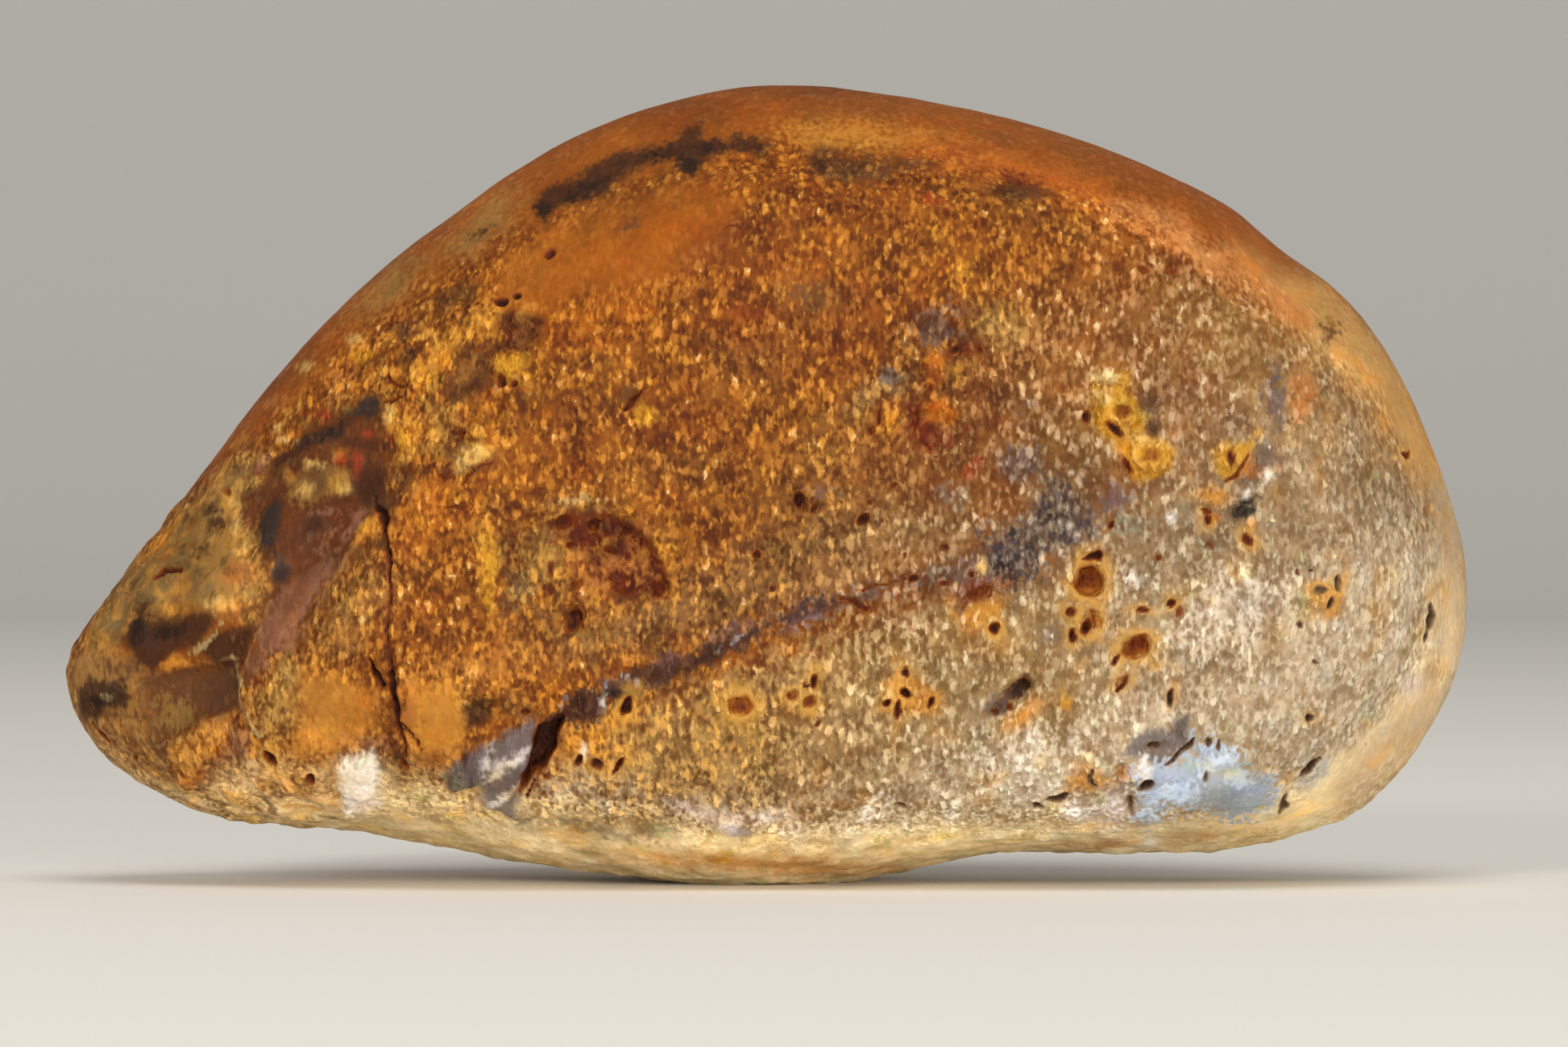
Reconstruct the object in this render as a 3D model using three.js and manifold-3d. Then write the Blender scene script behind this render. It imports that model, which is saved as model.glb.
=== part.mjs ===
// A brown jasper-agate nodule: one waterworn stone with a grainy flat front, a chipped nose on its
// left end and a smooth rounded back. It stands on a small flat spot worn on its lower edge.
// Millimetres, +Z up. The origin is on the flat spot, and the front faces -Y.
import * as THREE from "three";
import { mergeVertices } from "three/addons/utils/BufferGeometryUtils.js";
import Module from "manifold-3d";

// Thickness of the rounded body before its flats, from the widest outline to the front and to the back.
const FRONT_DEPTH = 15;
const BACK_DEPTH = 18;

// The front view is read from this eye, in front of the stone.
const EYE = new THREE.Vector3(-1.1, -420, 17.8);

// The widest outline in the front view, clockwise from the tip of the nose: [right, up].
const OUTLINE = [
  [-37.2, 10.6], [-36.4, 12.1], [-34.2, 14.9], [-31.7, 18.0], [-26.8, 24.5], [-22.0, 29.6],
  [-17.2, 33.5], [-12.4, 36.7], [-7.6, 38.6], [-2.0, 39.7], [4.4, 39.2], [11.6, 37.6],
  [16.4, 35.8], [21.2, 33.4], [23.6, 31.3], [26.2, 29.6], [28.7, 26.7], [31.0, 21.9],
  [32.8, 16.6], [33.0, 13.5], [32.4, 10.6], [30.6, 7.0], [27.2, 3.5], [21.6, 1.8],
  [14.4, 1.5], [9.6, 1.5], [5.0, 0.6], [1.8, -0.2], [-4.0, -0.4], [-8.4, 0.3],
  [-14.4, 1.0], [-18.5, 1.8], [-22.4, 2.6], [-28.0, 3.0], [-32.6, 4.6], [-35.7, 7.0],
];
const OUTLINE_SAMPLES = 900;
// The point that the outline is measured round, inside the stone, and a distance past every surface.
const HEART = new THREE.Vector3(0, 0, 18);
const PAST_BODY = 76;

// How square the shoulder is where the front turns into each side. 2 is a plain oval, and more is
// a flatter front with a tighter turn.
const SHOULDER = { right: 4.2, top: 3.0, left: 2.6, bottom: 4.0 };
const BACK_SHOULDER = 2.5;

// Flats that wear and old breaks left on the body: which way each faces, and how far it lies from
// the heart. The higher the crispness, the sharper the ridges between them.
const FLATS = [
  { faces: [0.02, -1, 0.03], from: 13.1 }, // grainy front
  { faces: [-0.56, -0.83, 0.02], from: 24.2 }, // front of the nose
  { faces: [-0.42, -0.5, 0.76], from: 21.8 }, // long upper slope
  { faces: [0.12, -0.52, 0.84], from: 20.6 }, // crest
  { faces: [0.62, -0.52, 0.59], from: 28.0 }, // upper right
  { faces: [0.85, -0.52, -0.1], from: 32.5 }, // right end
  { faces: [0, -0.6, -0.8], from: 19.4 }, // lower front edge
  { faces: [-0.35, 0.9, 0.25], from: 16.6 }, // back, left
  { faces: [0.32, 0.94, -0.08], from: 16.2 }, // back, right
  { faces: [0.05, 0.72, 0.7], from: 19.6 }, // back of the crest
  { faces: [0.05, 0.78, -0.62], from: 18.2 }, // back of the foot
  { faces: [0.76, 0.64, 0.12], from: 28.6 }, // back of the right end
  { faces: [-0.68, 0.73, -0.05], from: 28.6 }, // back of the nose
];
const CRISPNESS = 9;

// Lumps of the worn surface: height and spacing of the broad and of the small ones.
const BROAD_LUMP = { height: 0.42, spacing: 9 };
const SMALL_LUMP = { height: 0.13, spacing: 3.1 };
const LUMPS_FULL_AT = 5; // distance behind or before the widest outline
const SCATTER = [127.1, 311.7, 74.7, 43758.5453];

// How finely the body, the scars, knobs and pits are faceted, and how far the ball that the body is
// drawn from is stretched first, so that its facets come out even.
const BODY_DETAIL = 13;
const SCAR_DETAIL = 4;
const KNOB_DETAIL = 2;
const PIT_DETAIL = 1;
const STRETCH = new THREE.Vector3(34, 15, 20);
// How closely surface points are found, and how far apart points are compared to find their slope.
const SURFACE_TOLERANCE = 1e-4;
const SLOPE_STEP = 0.05;

// Hollows on the front: where in the front view, half length and half width, depth, the turn of
// the long side from level in degrees, and how bowl-like the walls are (1 is steep, 4 a dish).
const SCARS = [
  { at: [-24.8, 16.2], half: [9.6, 3.5], depth: 1.3, turn: 64, bowl: 4 }, // flake scar on the nose
  { at: [-29.6, 9.3], half: [3.9, 3.1], depth: 0.9, turn: 25, bowl: 4 }, // scar above the lower lip
  { at: [-31.4, 13.8], half: [3.5, 2.0], depth: 0.6, turn: 35, bowl: 4 }, // dark scar behind the tip
  { at: [-27.2, 19.6], half: [5.5, 2.2], depth: 0.6, turn: 53, bowl: 4 }, // hollow of the upper slope
  { at: [-34.4, 8.6], half: [1.5, 1.0], depth: 0.3, turn: 120, bowl: 3 }, // bruise under the tip
  { at: [-28.2, 5.2], half: [3.2, 1.2], depth: 0.35, turn: -12, bowl: 4 }, // lower lip
  { at: [-10.4, 16.2], half: [3.7, 2.5], depth: 0.55, turn: 12, bowl: 2.4 }, // wide rusty hollow
  { at: [6.8, 22.6], half: [2.2, 1.5], depth: 0.55, turn: 80, bowl: 2 }, // orange hollow
  { at: [9.0, 14.0], half: [1.9, 1.2], depth: 0.4, turn: 10, bowl: 2 }, // hollow above the round pits
  { at: [18.6, 6.2], half: [4.3, 2.2], depth: 0.4, turn: 12, bowl: 3 }, // bed of the grey patch
];
const PITS = [
  { at: [14.1, 14.9], half: [1.0, 1.0], depth: 0.95 },
  { at: [16.3, 11.5], half: [1.1, 0.9], depth: 0.9 },
  { at: [-3.2, 8.6], half: [0.9, 0.9], depth: 0.7 },
  { at: [15.3, 12.9], half: [0.6, 0.9], depth: 0.8 },
  { at: [21.8, 18.6], half: [1.0, 0.6], depth: 0.9, turn: 55 },
  { at: [22.3, 20.3], half: [0.9, 0.5], depth: 0.6, turn: 60 },
  { at: [10.6, 9.3], half: [1.5, 1.1], depth: 0.6, turn: 40, bowl: 1.5 },
  { at: [5.0, 9.1], half: [0.5, 0.4], depth: 0.6 },
  { at: [-9.0, 8.6], half: [0.7, 0.45], depth: 0.7, turn: 70 },
  { at: [-8.1, 24.2], half: [0.8, 0.5], depth: 0.5, turn: 35 },
  { at: [-11.6, 13.0], half: [0.9, 0.5], depth: 0.5, turn: 80 },
  { at: [-0.5, 18.8], half: [0.6, 0.5], depth: 0.5 },
  { at: [-14.2, 27.7], half: [1.1, 0.8], depth: 0.45, turn: 30, bowl: 1.6 },
  { at: [-26.5, 6.1], half: [0.7, 0.5], depth: 0.5, turn: 110 },
  { at: [25.8, 14.4], half: [0.9, 0.5], depth: 0.5, turn: 45 },
  { at: [30.6, 12.6], half: [1.3, 0.4], depth: 0.5, turn: 84 },
  { at: [24.9, 8.0], half: [0.5, 0.5], depth: 0.5 },
  { at: [16.6, 9.6], half: [0.8, 0.35], depth: 0.5, turn: 60 },
  { at: [13.6, 4.4], half: [1.2, 0.5], depth: 0.5, turn: 28 },
];
// Raised parts on the front: sharp-edged rims, knobs and the grey tongue by the notch.
const KNOBS = [
  { at: [14.2, 15.0], half: [1.7, 1.6], height: 0.35 },
  { at: [16.4, 11.4], half: [1.8, 1.5], height: 0.3 },
  { at: [-3.2, 8.6], half: [1.5, 1.4], height: 0.22 },
  { at: [15.8, 23.4], half: [1.9, 1.4], height: 0.5, turn: -30 },
  { at: [17.3, 21.1], half: [1.7, 1.3], height: 0.5, turn: -50 },
  { at: [21.4, 20.4], half: [1.7, 0.7], height: 0.45, turn: 50 },
  { at: [5.1, 9.0], half: [1.9, 1.2], height: 0.3, turn: -10 },
  { at: [-15.4, 6.0], half: [2.7, 1.5], height: 0.9, turn: 38 },
];
const KNOB_HOLES = [
  { at: [15.8, 23.2], half: [0.6, 0.5], depth: 0.6 },
];

// Cracks in the front, as [right, up, width, depth] along each. The cutter starts above the surface.
const CRACK_CLEARANCE = 0.5;
const CRACKS = [
  // upright crack that parts the nose from the grainy face
  [
    [-20.9, 18.6, 0.5, 0.4], [-20.7, 16.0, 0.45, 0.6], [-20.8, 13.4, 0.35, 0.6],
    [-20.8, 10.8, 0.5, 0.7], [-20.6, 8.8, 0.75, 0.8], [-20.2, 7.3, 0.45, 0.6], [-19.9, 6.3, 0.3, 0.3],
  ],
  // notch beside the grey tongue
  [
    [-11.9, 8.7, 0.7, 0.5], [-12.7, 7.6, 1.3, 1.1], [-13.2, 6.2, 1.2, 1.2], [-13.9, 4.6, 0.7, 0.8],
    [-14.2, 3.4, 0.4, 0.4],
  ],
  // dark vein that climbs to the right
  [
    [-12.2, 8.5, 0.7, 0.5], [-9.6, 9.5, 0.8, 0.55], [-6.7, 10.6, 0.7, 0.45], [-3.8, 12.0, 0.5, 0.3],
    [-1.0, 13.0, 0.4, 0.25], [2.2, 14.2, 0.5, 0.4], [4.6, 15.0, 0.3, 0.2],
  ],
];

// Old flake scars and pits that the front view doesn't reach: direction from the heart, then as above.
const FAR_SCARS = [
  { towards: [-0.75, 1, 0.1], half: [8.5, 5.5], depth: 1.1, turn: 60, bowl: 4 },
  { towards: [0.9, 1, 0.55], half: [9, 6], depth: 1.0, turn: -25, bowl: 4 },
  { towards: [0.1, 1, -0.55], half: [10, 4.5], depth: 0.8, turn: 8, bowl: 4 },
  { towards: [0.1, 1, 0.75], half: [6, 3.4], depth: 0.6, turn: 15, bowl: 4 },
  { towards: [1, 0.42, 0.05], half: [3.4, 4.6], depth: 0.6, turn: 10, bowl: 4 },
];
const FAR_PITS = [
  { towards: [0.35, 1, 0.1], half: [1.3, 1.0], depth: 0.8 },
  { towards: [0.55, 1, 0.0], half: [0.7, 0.6], depth: 0.6 },
  { towards: [-0.3, 1, 0.35], half: [1.0, 0.8], depth: 0.7 },
  { towards: [-0.15, 1, -0.2], half: [1.6, 0.9], depth: 0.6, turn: 30, bowl: 1.6 },
  { towards: [1.1, 1, -0.1], half: [0.9, 0.7], depth: 0.6 },
  { towards: [0.2, 0.5, 1], half: [1.0, 0.7], depth: 0.5 },
  { towards: [-0.5, 0.45, 0.7], half: [0.8, 0.8], depth: 0.5 },
];

// The ground that wore the flat spot: length, width and thickness.
const GROUND = [90, 50, 10];

const wasm = await Module();
wasm.setup();

// The outline as its reach from the heart for each direction, looked up by angle.
function outlineReach() {
  const corners = OUTLINE.map(([x, z]) => new THREE.Vector3(x, 0, z));
  const curve = new THREE.CatmullRomCurve3(corners, true, "centripetal");
  const samples = curve.getPoints(OUTLINE_SAMPLES).map((p) => {
    const [x, z] = [p.x - HEART.x, p.z - HEART.z];
    return [Math.atan2(z, x), Math.hypot(x, z)];
  });
  samples.sort((a, b) => a[0] - b[0]);
  return (angle) => {
    let [low, high] = [0, samples.length - 1];
    if (angle <= samples[low][0] || angle >= samples[high][0]) return samples[low][1];
    while (high - low > 1) {
      const middle = (low + high) >> 1;
      if (samples[middle][0] <= angle) low = middle;
      else high = middle;
    }
    const share = (angle - samples[low][0]) / (samples[high][0] - samples[low][0]);
    return THREE.MathUtils.lerp(samples[low][1], samples[high][1], share);
  };
}
const reach = outlineReach();

// A repeatable number from -1 to 1 for each corner of a unit lattice.
function cornerValue(i, j, k) {
  const [a, b, c, spread] = SCATTER;
  const s = Math.sin(i * a + j * b + k * c) * spread;
  return 2 * (s - Math.floor(s)) - 1;
}

// Smooth noise from -1 to 1 over space, with bumps about one unit apart.
function noise(x, y, z) {
  const [i, j, k] = [Math.floor(x), Math.floor(y), Math.floor(z)];
  const [u, v, w] = [x - i, y - j, z - k].map((t) => t * t * (3 - 2 * t));
  const mix = THREE.MathUtils.lerp;
  const row = (b, c) => mix(cornerValue(i, j + b, k + c), cornerValue(i + 1, j + b, k + c), u);
  return mix(mix(row(0, 0), row(1, 0), v), mix(row(0, 1), row(1, 1), v), w);
}

// The height of the lumps at a point: they die away at the widest outline, so that it stays as drawn.
function lumps(p) {
  const rise = ({ height, spacing }) => height * noise(p.x / spacing, p.y / spacing, p.z / spacing);
  const fade = THREE.MathUtils.smoothstep(Math.abs(p.y), 0, LUMPS_FULL_AT);
  return (rise(BROAD_LUMP) + rise(SMALL_LUMP)) * fade;
}

const flats = FLATS.map(({ faces, from }) => {
  return { normal: new THREE.Vector3(...faces).normalize(), from };
});

// How square the shoulder is on the side that an angle points to.
function shoulderAt(angle, front) {
  if (!front) return BACK_SHOULDER;
  const [c, s] = [Math.cos(angle), Math.sin(angle)];
  const side = c > 0 ? SHOULDER.right : SHOULDER.left;
  const end = s > 0 ? SHOULDER.top : SHOULDER.bottom;
  return side * c * c + end * s * s;
}

// Below 1 inside the worn body, above 1 outside it.
function fullness(p) {
  const [x, z] = [p.x - HEART.x, p.z - HEART.z];
  const angle = Math.atan2(z, x);
  const out = Math.hypot(x, z) / reach(angle);
  const front = p.y < 0;
  const oval = out ** shoulderAt(angle, front) + (p.y / (front ? FRONT_DEPTH : BACK_DEPTH)) ** 2;
  const fromHeart = p.clone().sub(HEART);
  let sum = oval ** CRISPNESS;
  for (const { normal, from } of flats) {
    sum += Math.max(0, fromHeart.dot(normal) / from) ** (2 * CRISPNESS);
  }
  return sum ** (1 / CRISPNESS);
}

// The point where a ray that starts outside first meets the body, or one that starts inside leaves it.
function meet(start, direction, near, far) {
  const at = (t) => start.clone().addScaledVector(direction, t);
  const startsInside = fullness(at(near)) < 1;
  let [low, high] = [near, far];
  while (high - low > SURFACE_TOLERANCE) {
    const middle = (low + high) / 2;
    if (fullness(at(middle)) < 1 === startsInside) low = middle;
    else high = middle;
  }
  return at(high);
}

// The direction that the body's surface faces at a point.
function outwardAt(p) {
  const slope = (axis) => {
    const offset = new THREE.Vector3().setComponent(axis, SLOPE_STEP);
    return fullness(p.clone().add(offset)) - fullness(p.clone().sub(offset));
  };
  return new THREE.Vector3(slope(0), slope(1), slope(2)).normalize();
}

// The surface point that the front view shows right of the middle and up from the flat spot.
function onFront([right, up]) {
  const target = new THREE.Vector3(right, 0, up);
  const direction = target.clone().sub(EYE).normalize();
  const point = meet(EYE, direction, -EYE.y - 2 * FRONT_DEPTH, target.distanceTo(EYE));
  return point.addScaledVector(outwardAt(point), lumps(point));
}

// The surface point that lies in a direction from the heart.
function fromHeart(direction) {
  const point = meet(HEART, direction.normalize(), 0, PAST_BODY);
  return point.addScaledVector(outwardAt(point), lumps(point));
}

function solidOf(geometry) {
  const bare = geometry.clone();
  bare.deleteAttribute("normal");
  bare.deleteAttribute("uv");
  const merged = mergeVertices(bare, SURFACE_TOLERANCE);
  return new wasm.Manifold(
    new wasm.Mesh({
      numProp: 3,
      vertProperties: merged.attributes.position.array,
      triVerts: new Uint32Array(merged.index.array),
    }),
  );
}

// The worn stone before anything chipped it: a fine ball drawn out to the body's surface.
function body() {
  const ball = new THREE.IcosahedronGeometry(1, BODY_DETAIL);
  const position = ball.attributes.position;
  for (let i = 0; i < position.count; i++) {
    const point = fromHeart(new THREE.Vector3().fromBufferAttribute(position, i).multiply(STRETCH));
    position.setXYZ(i, point.x, point.y, point.z);
  }
  return solidOf(ball);
}

// An oval ball whose long side lies along the surface at a point, turned in the front view.
function oval(point, radii, turn, lift, detail) {
  const outward = outwardAt(point);
  const level = new THREE.Vector3(Math.cos(turn), 0, Math.sin(turn));
  const long = level.addScaledVector(outward, -level.dot(outward)).normalize();
  const wide = new THREE.Vector3().crossVectors(outward, long);
  const placed = new THREE.Matrix4().makeBasis(long, wide, outward);
  placed.scale(new THREE.Vector3(...radii));
  placed.setPosition(point.clone().addScaledVector(outward, lift));
  return solidOf(new THREE.IcosahedronGeometry(1, detail).applyMatrix4(placed));
}

// The ball that cuts a hollow: it is wider and taller than the hollow, and lies mostly above it.
function hollow({ half, depth, turn = 0, bowl = 1.25 }, point, detail) {
  const tall = depth * bowl;
  const widen = 1 / Math.sqrt(1 - (1 - 1 / bowl) ** 2);
  const radii = [half[0] * widen, half[1] * widen, tall];
  return oval(point, radii, THREE.MathUtils.degToRad(turn), tall - depth, detail);
}

// The ball whose top half stands out as a knob.
function knob({ half, height, turn = 0 }, point, detail) {
  const radii = [...half, height * 2];
  return oval(point, radii, THREE.MathUtils.degToRad(turn), -height, detail);
}

// A V-shaped cut along a path: at each stop a triangle whose point is in the stone.
function crack(stops) {
  const centres = stops.map(([right, up]) => onFront([right, up]));
  const corners = stops.map(([, , width, depth], i) => {
    const outward = outwardAt(centres[i]);
    const along = centres[Math.min(i + 1, stops.length - 1)].clone().sub(centres[Math.max(i - 1, 0)]);
    const side = new THREE.Vector3().crossVectors(along, outward).normalize();
    const flare = (width / 2) * (1 + CRACK_CLEARANCE / depth);
    const top = centres[i].clone().addScaledVector(outward, CRACK_CLEARANCE);
    return [
      top.clone().addScaledVector(side, -flare),
      top.clone().addScaledVector(side, flare),
      centres[i].clone().addScaledVector(outward, -depth),
    ];
  });
  const faces = [];
  const face = (...points) => faces.push(...points.flatMap((p) => [p.x, p.y, p.z]));
  for (let i = 0; i + 1 < corners.length; i++) {
    for (let c = 0; c < 3; c++) {
      const [a, b] = [corners[i][c], corners[i][(c + 1) % 3]];
      const [d, e] = [corners[i + 1][c], corners[i + 1][(c + 1) % 3]];
      face(a, b, e);
      face(a, e, d);
    }
  }
  face(corners[0][2], corners[0][1], corners[0][0]);
  face(...corners.at(-1));
  const geometry = new THREE.BufferGeometry();
  geometry.setAttribute("position", new THREE.Float32BufferAttribute(faces, 3));
  return solidOf(geometry);
}

function ground() {
  return solidOf(new THREE.BoxGeometry(...GROUND).translate(0, 0, -GROUND[2] / 2));
}

function stone() {
  let solid = body();
  const cut = (hollows, detail) => {
    for (const one of hollows) {
      const point = one.at ? onFront(one.at) : fromHeart(new THREE.Vector3(...one.towards));
      solid = solid.subtract(hollow(one, point, detail));
    }
  };
  cut(SCARS, SCAR_DETAIL);
  cut(FAR_SCARS, SCAR_DETAIL);
  for (const bump of KNOBS) solid = solid.add(knob(bump, onFront(bump.at), KNOB_DETAIL));
  cut(PITS, PIT_DETAIL);
  cut(KNOB_HOLES, PIT_DETAIL);
  cut(FAR_PITS, PIT_DETAIL);
  for (const stops of CRACKS) solid = solid.subtract(crack(stops));
  return solid.subtract(ground());
}

function meshOf(solid, name, material) {
  const { numProp, vertProperties, triVerts } = solid.getMesh();
  const geometry = new THREE.BufferGeometry();
  const position = new THREE.BufferAttribute(new Float32Array(vertProperties), numProp);
  geometry.setAttribute("position", position);
  geometry.setIndex(new THREE.BufferAttribute(new Uint32Array(triVerts), 1));
  const mesh = new THREE.Mesh(geometry, material);
  mesh.name = name;
  return mesh;
}

const JASPER = new THREE.MeshStandardMaterial({ color: 0x9c6a33, roughness: 0.5, metalness: 0 });

const nodule = new THREE.Group();
nodule.add(meshOf(stone(), "nodule", JASPER));

export default nodule;
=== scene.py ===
# The looks of a brown jasper-agate nodule: a fine mesh of the stone with its pits, cracks and flake
# scars, a sugary jasper material with the stone's markings, a pale studio and the camera.
import math
from typing import NamedTuple

import bmesh
import bpy
import numpy as np
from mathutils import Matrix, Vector, noise


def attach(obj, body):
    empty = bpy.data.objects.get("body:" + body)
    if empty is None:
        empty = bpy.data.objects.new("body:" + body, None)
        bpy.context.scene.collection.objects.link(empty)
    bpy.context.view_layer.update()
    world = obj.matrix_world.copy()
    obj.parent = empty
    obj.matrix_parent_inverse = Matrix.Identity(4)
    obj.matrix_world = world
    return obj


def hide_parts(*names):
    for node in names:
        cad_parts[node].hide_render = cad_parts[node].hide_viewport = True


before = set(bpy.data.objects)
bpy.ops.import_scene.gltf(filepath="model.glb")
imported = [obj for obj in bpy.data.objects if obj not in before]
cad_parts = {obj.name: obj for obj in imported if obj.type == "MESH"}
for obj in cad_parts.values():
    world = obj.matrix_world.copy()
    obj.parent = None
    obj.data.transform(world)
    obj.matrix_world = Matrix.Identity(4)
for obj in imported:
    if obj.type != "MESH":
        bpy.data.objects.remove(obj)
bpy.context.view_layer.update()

MM = 0.001

# The camera, in millimetres: it looks level along +Y, and sees this much at the stone's middle.
EYE = np.array([-1.1, -420.0, 17.8])
FRAME_WIDTH = 77.84
SENSOR_WIDTH = 36.0

# The fine mesh: its spacing over the whole stone, halved on the front and again at its details, and
# how many rounds of relaxing round its facets off, give back what that took, and ease the seams.
VOXEL = 0.54
FACET_ROUNDS = 17
GIVE_BACK_ROUNDS = 35
SEAM_ROUNDS = 3
DETAIL_SEAM_ROUNDS = 1
DETAIL_MARGIN = 0.3

# The finer front: before this depth and facing this much, and the bottom rim beside it.
FRONT_ENDS_AT = -1.0
FRONT_FACES_BELOW = -0.15
RIM_TOP = 7.0
RIM_BACK = 2.0
RIM_FACES_BELOW = 0.2

# Carving starts where the surface turns this much to the camera, and is whole from this much on.
CARVED_FROM = 0.05
CARVED_WHOLE = 0.3

# Markings fade out behind the widest outline, between these depths, by sinking this far inside.
MARKS_FADE_FROM = 1.0
MARKS_FADE_TO = 6.0
MARKS_SINK = 8.0

# Towards the back, from this depth on, markings wander by about this, in swings this far apart.
WANDER_FROM = -2.0
WANDER = 3.0
WANDER_SPACING = 6.0

# Carved shapes get uneven edges from shifts of their places: [reach, spacing, seed].
UNEVEN = [(0.2, 1.3, 0), (0.12, 0.5, 5)]

# A pit's bowl, steeper with a higher power, and its rim's place and width as shares of its size.
BOWL = 2.5
RIM_AT = 1.25
RIM_WIDTH = 0.28

# The darkening in a pit, rust stain and painted shade set towards the upper left, where the wall lies in
# shade, in shares of the pit's size: its middle [right, up], where it ends, with a spill in mm added, and
# where it is whole, which is nearer the middle in a larger pit. The last share holds it back at the pit's
# edge on the side that it leans to.
SHADE_AT = (-0.15, 0.15)
SHADE_ENDS = 1.2
SHADE_SPILL = 0.035
SHADE_WHOLE = 0.6
SHADE_KEPT = 0.9

# A drawn relief rises or sinks, and the painted shade in its hollow darkens, between these shares of its
# softness.
RELIEF_FROM = -0.3
RELIEF_WHOLE = 1.0
RELIEF_SHADE_FROM = -0.5
RELIEF_SHADE_WHOLE = 0.5

# A crest shows pale from this far to its line, in mm, and wholly this near. It is worn here and there:
# its mean height, how much that swings, and the spacing of the swings.
CREST_WIDTH = 0.22
CREST_CORE = 0.02
WORN_MEAN = 0.75
WORN_SWING = 0.6
WORN_SPACING = 1.7

# Lumps over the whole stone: [spacing, seed, height, and what sugary, crumpled and low ground add].
LUMPS = [
    (2.3, 0, 0.05, 0.05, 0.16, 0.06),
    (1.1, 7, 0.015, 0.05, 0.20, 0.12),
    (0.55, 13, 0.005, 0.05, 0.07, 0.03),
]
# How far the edges of these grounds fade, and the heights below which low ground starts and is whole.
GROUND_FADE = 0.6
LOW_FROM = 5.5
LOW_WHOLE = 2.0

# Pits strewn over the back and the sides, which the photo doesn't show: how many, their radius, depth
# and darkening, rust stain and painted shade, and where they may lie.
BACK_PITS = 34
BACK_SEED = 11
BACK_RADIUS = (0.6, 1.3)
BACK_DEPTH = 0.45
BACK_STAIN_AND_SHADE = 0.8
BACK_FACES_ABOVE = 0.05
BACK_ABOVE = 1.5

# Everything on the front is placed as [right, up] in millimetres, as the camera sees it.


class Pit(NamedTuple):
    """A round hollow. Halo is how far its stained ring reaches, as a share of the pit's own size,
    and dark is how dark its middle is, with rust stain and painted shade."""
    right: float
    up: float
    long: float
    wide: float
    depth: float
    dark: float = 0.9
    turn: float = 0
    rim: float = 0
    halo: float = 0


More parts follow.
